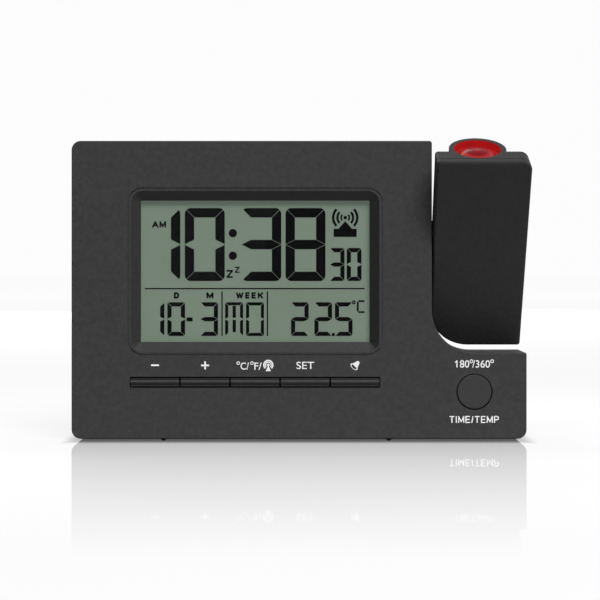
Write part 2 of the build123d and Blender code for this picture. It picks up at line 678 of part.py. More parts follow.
def key_switches():
    places = [(key_place(i), KEY_Z) for i in range(len(KEYS))] + [(BUTTON_X, BUTTON_Z)]
    return [press_switch(x, z) for x, z in places]


def snooze_post_y():
    return FRONT_Y + BOARD_FAR + SNOOZE_SWITCH_T / 2


def snooze_switch():
    """An upright switch behind the board's top edge."""
    low = BOARD_TOP - SNOOZE_SWITCH_H
    outline = panel(SWITCH_W, SNOOZE_SWITCH_H, WINDOW_X, low + SNOOZE_SWITCH_H / 2)
    body = slab(outline, BOARD_FAR, BOARD_FAR + SNOOZE_SWITCH_T)
    return body - bar_z(POST_R + LOOSE, BOARD_TOP - SWITCH_WELL, BOARD_TOP, WINDOW_X, snooze_post_y())


# ---- keys and buttons ---------------------------------------------------------------
def flange_and_post(flange, x, z):
    """What holds a key behind the front wall, and the post from there into its switch."""
    near = FRONT_WALL + SEAT
    post = slab(disc(POST_R, x, z), near, BOARD_NEAR - SWITCH_T + POST_ENTRY)
    return slab(flange, near, near + FLANGE_T) + post


def key(x):
    """A bar with a ridge along it, a flange behind the front wall and a post."""
    half = KEY_H / 2 - KEY_ROOM
    width = KEY_PITCH - KEY_GAP
    profile = Polyline((FRONT_WALL + SEAT, -half), (0, -half), (-KEY_RIDGE, KEY_RIDGE_UP), (0, half),
                       (FRONT_WALL + SEAT, half), close=True)
    side = Plane(origin=(x - width / 2, FRONT_Y, KEY_Z), x_dir=(0, 1, 0), z_dir=(1, 0, 0))
    cap = extrude(side * make_face(profile), width)
    return cap + flange_and_post(panel(width, KEY_H + 2 * FLANGE_LIP, x, KEY_Z), x, KEY_Z)


def projection_button():
    cap = slab(disc(BUTTON_R, BUTTON_X, BUTTON_Z), 0, FRONT_WALL + SEAT)
    cap = fillet(cap.faces().sort_by(Axis.Y)[0].edges(), EDGE_R)
    flange = disc(BUTTON_R + BUTTON_LIP, BUTTON_X, BUTTON_Z)
    return cap + flange_and_post(flange, BUTTON_X, BUTTON_Z)


def snooze_bar():
    y = FRONT_Y + SNOOZE_DEPTH
    under = BODY_TOP - WALL - SEAT
    cap = Pos(WINDOW_X, y, (under + BODY_TOP) / 2) * Box(SNOOZE_L, SNOOZE_W, BODY_TOP - under)
    cap = fillet(cap.edges().filter_by(Axis.Z), EDGE_R)
    groove = Box(SNOOZE_L - SNOOZE_W, GRIP_W, 2 * GRIP_DEEP)
    for place in GridLocations(0, GRIP_PITCH, 1, GRIP_GROOVES):
        cap -= Pos(WINDOW_X, y, BODY_TOP) * place * groove
    flange = Box(SNOOZE_L + 2 * BUTTON_LIP, SNOOZE_W + BUTTON_LIP, FLANGE_T)
    post = bar_z(POST_R, BOARD_TOP - POST_ENTRY, under, WINDOW_X, snooze_post_y())
    return cap + Pos(WINDOW_X, y, under - FLANGE_T / 2) * flange + post


# ---- batteries, sound, radio and supply ---------------------------------------------
def cell_z(row):
    return BAY_Z + row * BAY_H / 4


def battery_plates():
    """A plate at each end of each cell; the positive ones carry a nipple."""
    plates = []
    middle = FRONT_Y + BAY_FLOOR + CELL_R
    for row in (-1, 1):
        for side in (-1, 1):
            face = BAY_X + side * (BAY_W / 2 - PLATE_T)
            wall = face + side * PLATE_T
            plate = Pos((face + wall) / 2, middle, cell_z(row)) * Box(PLATE_T, PLATE_W, PLATE_W)
            if side == row:
                tip = face - side * NIPPLE_H
                plate += bar_x(NIPPLE_R, min(face, tip), max(face, tip), middle, cell_z(row))
            plates.append(plate)
    return plates


def battery_springs():
    springs = []
    for row in (-1, 1):
        side = -row
        path = Helix(COIL_PITCH, COIL_PITCH * COIL_TURNS, COIL_R)
        wire = Plane(origin=path @ 0, z_dir=path % 0) * Circle(COIL_WIRE_R)
        coil = sweep(wire, path=path, is_frenet=True)
        x = BAY_X + side * (BAY_W / 2 - PLATE_T - COIL_WIRE_R - SEAT)
        springs.append(Pos(x, FRONT_Y + BAY_FLOOR + CELL_R, cell_z(row)) * Rot(Y=-90 * side) * coil)
    return springs


def buzzer():
    return slab(disc(BUZZER_R, BUZZER_X, BUZZER_Z), REAR_INNER - SEAT - BUZZER_T, REAR_INNER - SEAT)


def ferrite_rod():
    return bar_x(ROD_R, ROD_X - ROD_L / 2, ROD_X + ROD_L / 2, FRONT_Y + ROD_DEPTH, ROD_Z)


def aerial_coil():
    """The winding on its former, between two flanges."""
    y, half = FRONT_Y + ROD_DEPTH, COIL_FORM_L / 2
    coil = bar_x(COIL_FORM_R, ROD_X - half, ROD_X + half, y, ROD_Z)
    for side in (-1, 1):
        end = ROD_X + side * half
        coil += bar_x(COIL_FORM_R + EDGE_R, end - EDGE_R, end + EDGE_R, y, ROD_Z)
    return coil - bar_x(ROD_R + SEAT, ROD_X - half - 1, ROD_X + half + 1, y, ROD_Z)


def dc_jack():
    body = slab(panel(JACK_W, JACK_H, JACK_X, JACK_Z), REAR_INNER - JACK_D, REAR_INNER)
    return body - slab(disc(JACK_BORE_R, JACK_X, JACK_Z), REAR_INNER - JACK_BORE_D, REAR_INNER)


def dc_jack_pin():
    pin = slab(disc(JACK_PIN_R, JACK_X, JACK_Z), REAR_INNER - JACK_BORE_D, REAR_INNER - EDGE_R)
    return fillet(pin.faces().sort_by(Axis.Y)[-1].edges(), EDGE_R)


# ---- hinge --------------------------------------------------------------------------
def friction_washer():
    near = CLIP_X + SEAT
    washer = bar_x(WASHER_R, near, near + WASHER_T, AXLE_Y, PIVOT_Z)
    return washer - bar_x(AXLE_R + RUNNING, near, near + WASHER_T, AXLE_Y, PIVOT_Z)


def pivot_axle():
    """A hollow axle, fast in the arm's hub, that turns in the housing's boss."""
    left, right = CLIP_X - CLIP_T - AXLE_TAIL, ARM_LEFT + AXLE_IN
    axle = bar_x(AXLE_R, left, right, AXLE_Y, PIVOT_Z)
    groove = bar_x(AXLE_R + 1, CLIP_X - CLIP_T - SEAT, CLIP_X, AXLE_Y, PIVOT_Z)
    groove -= bar_x(CLIP_GROOVE_R, CLIP_X - CLIP_T - SEAT, CLIP_X, AXLE_Y, PIVOT_Z)
    return axle - groove - bar_x(AXLE_BORE_R, left, right, AXLE_Y, PIVOT_Z)


def retaining_clip():
    """An open ring that snaps into the axle's groove."""
    left, right = CLIP_X - CLIP_T - SEAT / 2, CLIP_X - SEAT / 2
    ring = bar_x(CLIP_R, left, right, AXLE_Y, PIVOT_Z)
    ring -= bar_x(CLIP_GROOVE_R + SEAT, left, right, AXLE_Y, PIVOT_Z)
    return ring - Pos(CLIP_X, AXLE_Y, PIVOT_Z - CLIP_R) * Box(4 * CLIP_T, CLIP_OPENING, 2 * CLIP_R)


# ---- projector arm ------------------------------------------------------------------
def arm_screw_places():
    x = ARM_LEFT + ARM_W - ARM_SCREW_IN
    return [(x, PIVOT_Z + side * (ARM_HALF - ARM_SCREW_END)) for side in (-1, 1)]


def arm_front_shell():
    shell = slab(arm_outline(0), 0, ARM_SEAM)
    shell = fillet(shell.faces().sort_by(Axis.Y)[0].edges(), ARM_EDGE_R)
    shell -= slab(arm_outline(ARM_WALL), ARM_PLATE, ARM_SEAM)
    for x, z in arm_screw_places():
        shell += slab(disc(ARM_BOSS_R, x, z), ARM_PLATE, ARM_T - ARM_WALL - SEAT)
        shell -= slab(disc(ARM_SCREW_R + SEAT, x, z), ARM_SEAM - EDGE_R, ARM_T - ARM_WALL)
    return tilted(shell)


def arm_rear_shell():
    """A flat box with the optical tube along its back and the axle's hub on its side."""
    solid_core = tube_bar(TUBE_R, TUBE_FOOT, ARM_HALF) + bar_x(HUB_R, ARM_LEFT, TUBE_X, AXLE_Y, PIVOT_Z)
    shell = slab(arm_outline(0), ARM_SEAM, ARM_T) - slab(arm_outline(ARM_WALL), ARM_SEAM, ARM_T - ARM_WALL)
    shell += solid_core & slab(panel(4 * ARM_W, 2 * ARM_LENGTH, ARM_MID, PIVOT_Z), ARM_SEAM, BODY_D)
    shell -= slab(arm_outline(0) - arm_outline(SHADOW_GAP), ARM_SEAM, ARM_SEAM + SHADOW_GAP)
    shell -= tube_bar(TUBE_BORE_R, BORE_STEP, ARM_HALF)
    shell -= tube_bar(LAMP_BORE_R, LAMP_FLOOR, BORE_STEP)
    shell -= tube_bar(FOCUS_R + FOCUS_GAP, FOCUS_FOOT - FOCUS_GAP, FOCUS_FOOT + FOCUS_L + FOCUS_GAP)
    shell -= bar_x(AXLE_R + AXLE_CLEAR, ARM_LEFT, ARM_LEFT + AXLE_IN, AXLE_Y, PIVOT_Z)
    shell -= bar_x(AXLE_BORE_R, ARM_LEFT, TUBE_X, AXLE_Y, PIVOT_Z)
    for x, z in arm_screw_places():
        shell -= slab(disc(ARM_HEAD_R + SEAT, x, z), ARM_T - ARM_HEAD_T, ARM_T)
        shell -= slab(disc(ARM_SCREW_R + SEAT, x, z), ARM_T - ARM_WALL, ARM_T)
    return tilted(shell)


def arm_screws():
    seat = ARM_T - ARM_HEAD_T
    size = (ARM_SCREW_R, seat - ARM_SEAM, ARM_HEAD_R, ARM_HEAD_T)
    return [tilted(screw(*size, x, z, seat)) for x, z in arm_screw_places()]


# ---- optics -------------------------------------------------------------------------
def on_axis(shape, station):
    """Stand a shape on the optical axis at a station along the arm, and tilt it."""
    return tilted(Pos(TUBE_X, TUBE_Y, PIVOT_Z + station) * shape)


def led_board():
    return tilted(tube_bar(LAMP_BORE_R - SEAT, LAMP_FLOOR, LAMP_FLOOR + LED_BOARD_T))


def projection_led():
    foot = Pos(0, 0, LED_FLANGE_T / 2) * Cylinder(LED_FLANGE_R, LED_FLANGE_T)
    body = Pos(0, 0, LED_BODY_L / 2) * Cylinder(LED_R, LED_BODY_L) + Pos(0, 0, LED_BODY_L) * Sphere(LED_R)
    return on_axis(foot + body, LAMP_FLOOR + LED_BOARD_T)


def holder_top():
    return LAMP_FLOOR + LED_BOARD_T + HOLDER_L


def lamp_holder():
    low, high = LAMP_FLOOR + LED_BOARD_T, holder_top()
    return tilted(tube_bar(LAMP_BORE_R - SEAT, low, high) - tube_bar(HOLDER_BORE_R, low, high))


def condenser_lens():
    """Plano-convex, its dome down inside the lamp holder."""
    plate = Pos(0, 0, CONDENSER_EDGE / 2) * Cylinder(LAMP_BORE_R - SEAT, CONDENSER_EDGE)
    return on_axis(plate + Rot(X=180) * dome(HOLDER_BORE_R - SEAT, CONDENSER_RISE), holder_top())


def projection_lcd():
    cell = Pos(0, 0, SLIDE_T / 2) * Box(SLIDE_W, SLIDE_W, SLIDE_T)
    return on_axis(cell, holder_top() + CONDENSER_EDGE)


def slide_retainer():
    low = holder_top() + CONDENSER_EDGE + SLIDE_T
    ring = tube_bar(LAMP_BORE_R - SEAT, low, low + RETAINER_T)
    return tilted(ring - tube_bar(RETAINER_BORE_R, low, low + RETAINER_T))


def lens_barrel():
    top = BARREL_FOOT + BARREL_L
    barrel = tube_bar(TUBE_BORE_R - RUNNING, BARREL_FOOT, top) - tube_bar(BARREL_BORE_R, BARREL_FOOT, top)
    return tilted(barrel - tube_bar(LENS_R, top - LENS_EDGE, top))


def objective_lens():
    edge = Pos(0, 0, LENS_EDGE / 2) * Cylinder(LENS_R - SEAT, LENS_EDGE)
    cap = Pos(0, 0, LENS_EDGE) * dome(LENS_R - SEAT, LENS_RISE)
    return on_axis(edge + cap, BARREL_FOOT + BARREL_L - LENS_EDGE)


def focus_ring():
    """A knurled ring round the barrel, reached through the tube's rear window."""
    ring = Cylinder(FOCUS_R, FOCUS_L) - Cylinder(TUBE_BORE_R, FOCUS_L)
    for place in PolarLocations(FOCUS_R, FOCUS_GROOVES):
        ring -= place * Cylinder(FOCUS_GROOVE_R, FOCUS_L)
    return on_axis(ring, FOCUS_FOOT + FOCUS_L / 2)


# ---- the whole ----------------------------------------------------------------------
SINGLE_PIECES = (
    front_housing, rear_cover, battery_door, display_window, lcd_glass, backlight_guide, lcd_frame,
    main_board, controller_chip, clock_crystal, receiver_module, temperature_sensor, backlight_lamp,
    snooze_switch, projection_button, snooze_bar, buzzer, ferrite_rod, aerial_coil, dc_jack, dc_jack_pin,
    friction_washer, pivot_axle, retaining_clip, arm_front_shell, arm_rear_shell, led_board,
    projection_led, lamp_holder, condenser_lens, projection_lcd, slide_retainer, lens_barrel,
    objective_lens, focus_ring,
)
GROUPS = (
    zebra_strips, board_screws, capacitors, key_switches, housing_screws, rear_feet,
    battery_plates, battery_springs, arm_screws,
)


def write(name, solids):
    shape = solids[0] if len(solids) == 1 else Compound(children=solids)
    export_step(shape, f"parts/{name}.step")


os.makedirs("parts", exist_ok=True)
for make in SINGLE_PIECES:
    write(make.__name__, [make()])
for make in GROUPS:
    write(make.__name__, make())
for index, name in enumerate(KEYS):
    write(name, [key(key_place(index))])
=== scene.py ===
# %% [markdown]
# # A bedside clock with a projector arm
#
# The clock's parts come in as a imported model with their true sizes, places and joints. This
# script never moves them. It gives each of them its finish, adds what a part carries on its
# surface (the figures of the display, the printed legends, the crosses of the screws, the
# raised marks of the back), and sets up a plain studio round them.
#
# Every number in this file is in millimetres unless a line says otherwise, and `MM` turns
# it into Blender's metres.

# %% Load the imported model
import json
import math
from functools import partialmethod

import bpy
from mathutils import Matrix, Vector

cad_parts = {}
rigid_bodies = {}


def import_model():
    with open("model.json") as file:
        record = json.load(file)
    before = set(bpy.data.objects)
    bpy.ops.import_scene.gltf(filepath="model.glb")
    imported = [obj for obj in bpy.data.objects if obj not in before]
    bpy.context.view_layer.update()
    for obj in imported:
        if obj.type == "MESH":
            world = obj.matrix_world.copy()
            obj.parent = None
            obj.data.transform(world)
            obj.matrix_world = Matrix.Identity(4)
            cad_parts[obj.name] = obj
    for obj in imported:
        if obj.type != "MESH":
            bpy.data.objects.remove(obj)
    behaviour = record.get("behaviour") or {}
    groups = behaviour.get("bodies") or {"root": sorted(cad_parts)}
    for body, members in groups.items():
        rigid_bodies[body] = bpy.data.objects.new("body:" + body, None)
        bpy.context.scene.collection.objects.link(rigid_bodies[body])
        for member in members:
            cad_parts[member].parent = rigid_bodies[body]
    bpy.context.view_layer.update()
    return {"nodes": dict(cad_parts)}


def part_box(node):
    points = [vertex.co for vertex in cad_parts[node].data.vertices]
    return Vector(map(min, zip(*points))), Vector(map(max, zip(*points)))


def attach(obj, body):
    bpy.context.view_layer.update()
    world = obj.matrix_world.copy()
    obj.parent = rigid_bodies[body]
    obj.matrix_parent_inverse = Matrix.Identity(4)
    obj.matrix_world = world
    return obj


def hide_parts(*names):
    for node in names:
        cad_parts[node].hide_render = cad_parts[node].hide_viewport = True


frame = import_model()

MM = 0.001

# %% [markdown]
# ## The camera
#
# The camera stands half a metre in front of the clock, a little above the middle of its
# face, and looks level, so upright edges stay upright. A small shift lowers the view
# without tilting it, as an architect's camera does.

# %% Camera
CAMERA_X, CAMERA_Y, CAMERA_Z = 0.3, -498.8, 62.1
lens_data = bpy.data.cameras.new("studio_camera")
lens_data.sensor_width = 36.0
lens_data.lens = 90.28
lens_data.shift_y = -50 / 600
lens_data.dof.use_dof = False
camera = bpy.data.objects.new("studio_camera", lens_data)
camera.location = Vector((CAMERA_X, CAMERA_Y, CAMERA_Z)) * MM
camera.rotation_euler = (math.radians(90), 0, 0)
bpy.context.scene.collection.objects.link(camera)
bpy.context.scene.camera = camera
bpy.context.scene.view_settings.view_transform = "Standard"
print("camera at", tuple(camera.location))

# %% [markdown]
# ## Writing materials as sums
#
# A node material is a sum drawn as boxes. Three small classes let the sum be written as a
# sum. `Wire` is the output of a node, and arithmetic on it adds Math nodes. `Nodes` is a
# tree, and its one method `node` adds any other node. `Finish` is the tree of a material.

# %% Wire, Nodes and Finish
class Wire:
    """The output of a node. Arithmetic on it adds Math nodes."""

    def __init__(self, nodes, socket):
        self.nodes = nodes
        self.socket = socket

    def maths(self, operation, *others):
        return self.nodes.node("Math", {"operation": operation}, dict(enumerate((self, *others))))

    def swapped(self, operation, other):
        """A Math node with this output in second place."""
        return self.nodes.node("Math", {"operation": operation}, {0: other, 1: self})

    __add__ = partialmethod(maths, "ADD")
    __radd__ = partialmethod(swapped, "ADD")
    __sub__ = partialmethod(maths, "SUBTRACT")
    __rsub__ = partialmethod(swapped, "SUBTRACT")
    __mul__ = partialmethod(maths, "MULTIPLY")
    __rmul__ = partialmethod(swapped, "MULTIPLY")
    __truediv__ = partialmethod(maths, "DIVIDE")
    __pow__ = partialmethod(maths, "POWER")
    __gt__ = partialmethod(maths, "GREATER_THAN")
    __lt__ = partialmethod(maths, "LESS_THAN")
    __abs__ = partialmethod(maths, "ABSOLUTE")


class Nodes:
    """A tree of nodes, of a material or of the world."""

    def __init__(self, tree):
        self.tree = tree

    def node(self, kind, settings=None, sockets=None, out=0):
        made = self.tree.nodes.new("ShaderNode" + kind)
        for setting, value in (settings or {}).items():
            if setting == "stops":
                self.set_stops(made.color_ramp, value)
            else:
                setattr(made, setting, value)
        for socket, value in (sockets or {}).items():
            self.feed(made.inputs[socket], value)
        return Wire(self, made.outputs[out])

    def set_stops(self, ramp, stops):
        while len(ramp.elements) < len(stops):
            ramp.elements.new(1.0)
        for element, (position, level) in zip(ramp.elements, stops):
            element.position = position
            element.color = (*grey(level), 1.0)

    def feed(self, socket, value):
        if isinstance(value, Wire):
            self.tree.links.new(value.socket, socket)
        else:
            socket.default_value = value

    def split(self, vector):
        parts = self.node("SeparateXYZ", {}, {0: vector})
        return [Wire(self, parts.socket.node.outputs[i]) for i in range(3)]


class Finish(Nodes):
    """A material. `surface` is its shader, `where` a point of the object in millimetres."""

    def __init__(self, name, colour=(0.8, 0.8, 0.8), rough=0.5, shine=0.5, glow=0.0, metallic=0.0):
        self.material = bpy.data.materials.new(name)
        self.material.use_nodes = True
        super().__init__(self.material.node_tree)
        self.surface = self.tree.nodes["Principled BSDF"]
        self.output = self.tree.nodes["Material Output"]
        self.drive(Base_Color=(*colour, 1.0), Roughness=rough, Metallic=metallic,
                   Specular_IOR_Level=shine, Emission_Strength=glow)
        metres = self.node("TexCoord", out="Object")
        self.where = self.node("VectorMath", {"operation": "SCALE"}, {0: metres, "Scale": 1 / MM})

    def drive(self, **sockets):
        for name, value in sockets.items():
            self.feed(self.surface.inputs[name.replace("_", " ")], value)

    def xyz(self):
        return self.split(self.where)

    def noise(self, size, detail=2.0, rough=0.5, at=None):
        """Noise whose blotches are about `size` millimetres across, from 0 to 1."""
        return self.node("TexNoise", {}, {"Vector": at or self.where, "Scale": 1.0 / size,
                                          "Detail": detail, "Roughness": rough})

    def ramp(self, value, *stops):
        return self.node("ValToRGB", {"stops": stops}, {0: value})

    def blend(self, factor, first, second):
        """Colour `first` where the factor is 0, and `second` where it is 1."""
        first, second = [(*c, 1.0) if isinstance(c, tuple) else c for c in (first, second)]
        return self.node("Mix", {"data_type": "RGBA"}, {0: factor, 6: first, 7: second}, out=2)

    def bump(self, height, depth):
        """Relief of `depth` millimetres where the height goes from 0 to 1."""
        normal = self.node("Bump", {}, {"Height": height, "Distance": depth * MM, "Strength": 1.0})
        self.drive(Normal=normal)


def grey(level):
    return level, level, level


def times(colour, factor):
    """A colour made lighter or darker."""
    return tuple(factor * channel for channel in colour)


def step(value, edge, soft):
    """0 below the edge and 1 above it, over a band that is `soft` wide."""
    return value.nodes.node("MapRange", {"interpolation_type": "SMOOTHSTEP"},
                            {0: value, 1: edge - soft / 2, 2: edge + soft / 2})


def distance(across, along):
    """How far a point lies from an axis, from its offsets in two directions."""
    return (across ** 2 + along ** 2) ** 0.5


finished = set()


def give(finish, *names):
    """Puts a finish on CAD nodes in place of the plain one."""
    for name in names:
        for slot in frame["nodes"][name].material_slots:
            slot.material = finish.material
    finished.update(names)
    print(f"{finish.material.name} on {', '.join(names)}")


def speckled(name, dark, light, noise, rough, swing, depth=None, **constants):
    """A finish whose tone, roughness and relief all follow one noise."""
    finish = Finish(name, **constants)
    speck = finish.noise(*noise)
    finish.drive(Base_Color=finish.blend(speck, dark, light), Roughness=rough + swing * speck)
    if depth:
        finish.bump(speck, depth)
    return finish


print("node kit ready")

# %% [markdown]
# ## The studio
#
# Product pictures of dark plastic are made on white. The floor is a pale sheet with a polish
# that dies away from the clock outwards, and the room behind is plain white. The room in
# front is dim, so the display's window doesn't turn milky.

# %% Floor
FLOOR_HALF = 3000.0
FOOTPRINT_X, FOOTPRINT_Y, FOOTPRINT_MID = 74.0, 16.0, 6.2
REFLECTION, REFLECTION_REACH = 0.44, 185.0
CONTACT_DARK, CONTACT_REACH = 0.22, 3.9
SIDE_LIGHT = 2.6  # light from both sides makes the contact shadow this much narrower there
GLOW_SPAN = 1500.0
SHEEN_FROM_Y = -420.0
bpy.ops.object.select_all(action="DESELECT")
bpy.ops.mesh.primitive_plane_add(size=2 * FLOOR_HALF * MM, location=(0, 0, -0.02 * MM))
floor = bpy.context.object
floor.name = "studio_floor"
bpy.ops.object.transform_apply(location=True)


def rays(nodes, *kinds):
    """1 for a ray of any of the given kinds, and 0 for the others."""
    path = nodes.node("LightPath").socket.node
    hits = [Wire(nodes, path.outputs[f"Is {kind} Ray"]) for kind in kinds]
    total = hits[0]
    for hit in hits[1:]:
        total = total.maths("MAXIMUM", hit)
    return total


# The floor's glow carries a painted contact shadow round the clock's footprint, and its level changes
# with distance from the clock.
paper = Finish("pale_floor", rough=0.7, shine=0.0, glow=1.0)
floor_x, floor_y, _ = paper.xyz()
beside, before = abs(floor_x) - FOOTPRINT_X, abs(floor_y - FOOTPRINT_MID) - FOOTPRINT_Y
away = (beside + SIDE_LIGHT).maths("MAXIMUM", before)
fade = paper.node("MapRange", {}, {0: away, 1: 0.0, 2: REFLECTION_REACH, 3: REFLECTION, 4: 0.0})
contact = CONTACT_DARK + (1 - CONTACT_DARK) * step(away, CONTACT_REACH, 5.0)
level = paper.ramp(away / GLOW_SPAN, (0.0033, 0.74), (0.03, 0.81), (0.055, 0.795), (0.115, 0.745),
                   (0.173, 0.745), (1.0, 0.915))
ahead = rays(paper, "Glossy") * (floor_y > SHEEN_FROM_Y)
seen = ahead.maths("MAXIMUM", rays(paper, "Camera", "Transmission"))
paper.drive(Base_Color=paper.blend(seen, grey(0.08), grey(0.17)),
            Emission_Color=paper.blend(seen * (contact * level), grey(0.0), grey(1.0)))
polish = paper.node("BsdfGlossy", {}, {"Roughness": 0.03, "Color": (1, 1, 1, 1)})
mirror = paper.node("MixShader", {}, {0: fade, 1: Wire(paper, paper.surface.outputs[0]), 2: polish})
paper.feed(paper.output.inputs["Surface"], mirror)
floor.data.materials.append(paper.material)
print("floor", 2 * FLOOR_HALF * MM, "m wide")

# %% Room and lamps
world = bpy.data.worlds.new("studio_room")
bpy.context.scene.world = world
world.use_nodes = True
room = Nodes(world.node_tree)
room_light = room.tree.nodes["Background"]
_, toward_back, upward = room.split(room.node("TexCoord", out="Generated"))
behind = rays(room, "Glossy") * step(toward_back, 0.1, 0.5)
white = rays(room, "Camera", "Transmission").maths("MAXIMUM", behind)
ambient = 0.06 + 0.26 * step(upward, 0.3, 1.2)
room_light.inputs["Color"].default_value = (1, 1, 1, 1)
room.feed(room_light.inputs["Strength"], ambient * (1 - white) + 0.98 * white)


def softbox(name, place, aim, width, height, watts, roll=0.0):
    """A flat lamp at `place` that faces `aim`, turned in its own plane by `roll` degrees."""
    data = bpy.data.lights.new(name, "AREA")
    data.shape = "RECTANGLE"
    data.size, data.size_y = width * MM, height * MM
    data.energy = watts
    lamp = bpy.data.objects.new(name, data)
    lamp.location = Vector(place) * MM
    look = Vector(aim) - Vector(place)
    turn = look.to_track_quat("-Z", "Y").to_matrix() @ Matrix.Rotation(math.radians(roll), 3, "Z")
    lamp.rotation_euler = turn.to_euler()
    bpy.context.scene.collection.objects.link(lamp)
    return lamp


softbox("top_softbox", (260, -640, 860), (0, 0, 50), 600, 450, 12.3)
softbox("rear_softbox", (-300, 800, 900), (0, 0, 50), 700, 500, 4.0)
fill = softbox("rear_fill", (-150, 1000, 240), (0, 0, 50), 700, 400, 5.0)
fill.visible_camera = fill.visible_glossy = False
softbox("window_strip", (-118, -1008, 100), (-118, 0, 100), 180, 220, 0.06, roll=-20.6)

# %% [markdown]
# ## Moulded plastic
#
# The housing is injection-moulded in a tool with an eroded surface, which leaves a fine,
# even grain. It is too small to see as lumps and shows as a soft, slightly mottled sheen, so
# it is made of two sizes of noise: one drives the bump, the other the roughness, and both a
# slight change of tone.

# %% Housing and arm plastic
def moulded(name, colour, grain, depth, rough, shine=0.15, shade=None, glow=0.0):
    """Dark plastic with an eroded grain. `shade` paints shade into the tone from place to place."""
    finish = Finish(name, shine=shine, glow=glow)
    fine = finish.noise(grain, detail=3.0, rough=0.6)
    mottle = finish.noise(grain * 7, detail=3.0)
    tone = finish.blend(0.4 * fine + 0.6 * mottle, times(colour, 0.5), times(colour, 1.5))
    if shade:
        tone = finish.blend(shade(finish), tone, times(colour, 0.2))
    finish.tone = tone
    finish.drive(Base_Color=tone, Roughness=rough - 0.05 + 0.1 * mottle)
    finish.bump(fine, depth)
    return finish


WINDOW_X, WINDOW_Z = -14.3, 55.15
FRAME_HALF_X, FRAME_HALF_Z = 40.5, 26.25
FRAME_FRONT_Y, FRAME_BACK_Y = -9.79, -7.0


def painted_face_shade(finish):
    """Painted shade: darkens the bottom edge and the sloping frame round the display, least of all
    its sill.
    """
    x, y, z = finish.xyz()
    inside = (abs(x - WINDOW_X) < FRAME_HALF_X) * (abs(z - WINDOW_Z) < FRAME_HALF_Z)
    sloping = inside * (y < FRAME_BACK_Y) * (y > FRAME_FRONT_Y)
    mitre = FRAME_HALF_X - FRAME_HALF_Z
    top = (z - WINDOW_Z + mitre) > abs(x - WINDOW_X)
    right = (x - WINDOW_X - mitre) > abs(z - WINDOW_Z)
    left = (WINDOW_X - x - mitre) > abs(z - WINDOW_Z)
    painted_shade_under_edge = z < 1.0
    # each side of the frame gets its own share of painted shade, after how the light falls on it, and
    # the bottom edge is painted dark as shade where it turns under
    return sloping * (0.28 + 0.34 * top + 0.5 * right + 0.18 * left) + painted_shade_under_edge


KEY_FOOT, KEY_TALL = 17.3, 3.6


def painted_key_shade(finish):
    """Painted shade on a key: dark at its edges and along the groove below its crown, light at the
    crown.
    """
    up = (finish.xyz()[2] - KEY_FOOT) / KEY_TALL
    return finish.ramp(up, (0.08, 1.0), (0.21, 0.35), (0.30, 0.9), (0.39, 0.9), (0.48, 0.4),
                       (0.56, 0.0), (0.66, 0.3), (0.74, 1.0))


TILT = math.radians(26)
AXLE_Y, AXLE_Z = 0.2, 64.35
SEAM_Y, TUBE_X, TUBE_Y = -7.0, 57.6, 1.3
ARM_TOP = 97.6


def upright(finish):
    """X, Y and Z of a point with the arm swung back upright, which is how it was drawn."""
    x, y, z = finish.xyz()
    out, up = y - AXLE_Y, z - AXLE_Z
    return x, AXLE_Y + out * math.cos(TILT) + up * math.sin(TILT), \
        AXLE_Z - out * math.sin(TILT) + up * math.cos(TILT)


def from_tube(finish):
    """How far a point lies from the axis of the optical tube."""
    x, y, _ = upright(finish)
    return distance(x - TUBE_X, y - TUBE_Y)


def painted_arm_shade(finish):
    """Painted shade: darkens the groove where the arm's two shells meet, and the arm's end."""
    _, y, z = upright(finish)
    return 0.9 * (abs(y - SEAM_Y - 0.12) < 0.13) + 0.6 * step(z, ARM_TOP - 0.45, 0.5)


give(moulded("housing_plastic", (0.0432, 0.0432, 0.0450), 0.22, 0.02, 0.62, shade=painted_face_shade),
     "front_housing")
cover = moulded("cover_plastic", (0.043, 0.043, 0.0445), 0.22, 0.02, 0.62)
give(cover, "rear_cover", "battery_door")
give(moulded("key_plastic", (0.061, 0.061, 0.0615), 0.18, 0.008, 0.5, shine=0.06,
             shade=painted_key_shade), "key_minus", "key_plus", "key_unit", "key_set", "key_alarm")
give(moulded("button_plastic", grey(0.043), 0.18, 0.012, 0.6), "projection_button",
     "snooze_bar", "focus_ring")
ARM_PLASTIC = {"colour": (0.0285, 0.0285, 0.029), "grain": 0.22, "depth": 0.015, "rough": 0.60,
               "shade": painted_arm_shade}
give(moulded("arm_plastic", **ARM_PLASTIC), "arm_front_shell")

# %% [markdown]
# ## The lit tube
#
# The projector's red lamp lights the inside of the tube and the domed lens from below, and
# that light is painted into their finishes. The tube is part of the arm's rear shell, so its
# finish is the arm's plastic with one more step: where a point lies inside the bore, it is
# painted red and glows red as painted lamp light, most strongly at the mouth. The bore is
# found by swinging the arm back upright in the sum and measuring from the axis.

# %% Arm shell with its red bore
BORE_R = 7.6
lit_shell = moulded("arm_plastic_with_bore", **ARM_PLASTIC, glow=1.0)
z = upright(lit_shell)[2]
in_bore = (from_tube(lit_shell) < BORE_R + 0.06) * (z > ARM_TOP - 14) * (z < ARM_TOP - 0.06)
streak = lit_shell.noise(2.5, detail=3.0)
depth = lit_shell.node("MapRange", {}, {0: z, 1: ARM_TOP - 6, 2: ARM_TOP, 3: 0.75, 4: 1.0})
painted_red_light = lit_shell.blend(streak, (0.28, 0.004, 0.005), (0.38, 0.008, 0.009))
# the red tint and glow of the bore are painted light from the lamp below
lit_shell.drive(Base_Color=lit_shell.blend(in_bore, lit_shell.tone, (0.08, 0.002, 0.002)),
                Emission_Color=lit_shell.blend(in_bore * depth, grey(0.0), painted_red_light))
give(lit_shell, "arm_rear_shell", "lens_barrel")
print("red bore of radius", BORE_R, "mm")
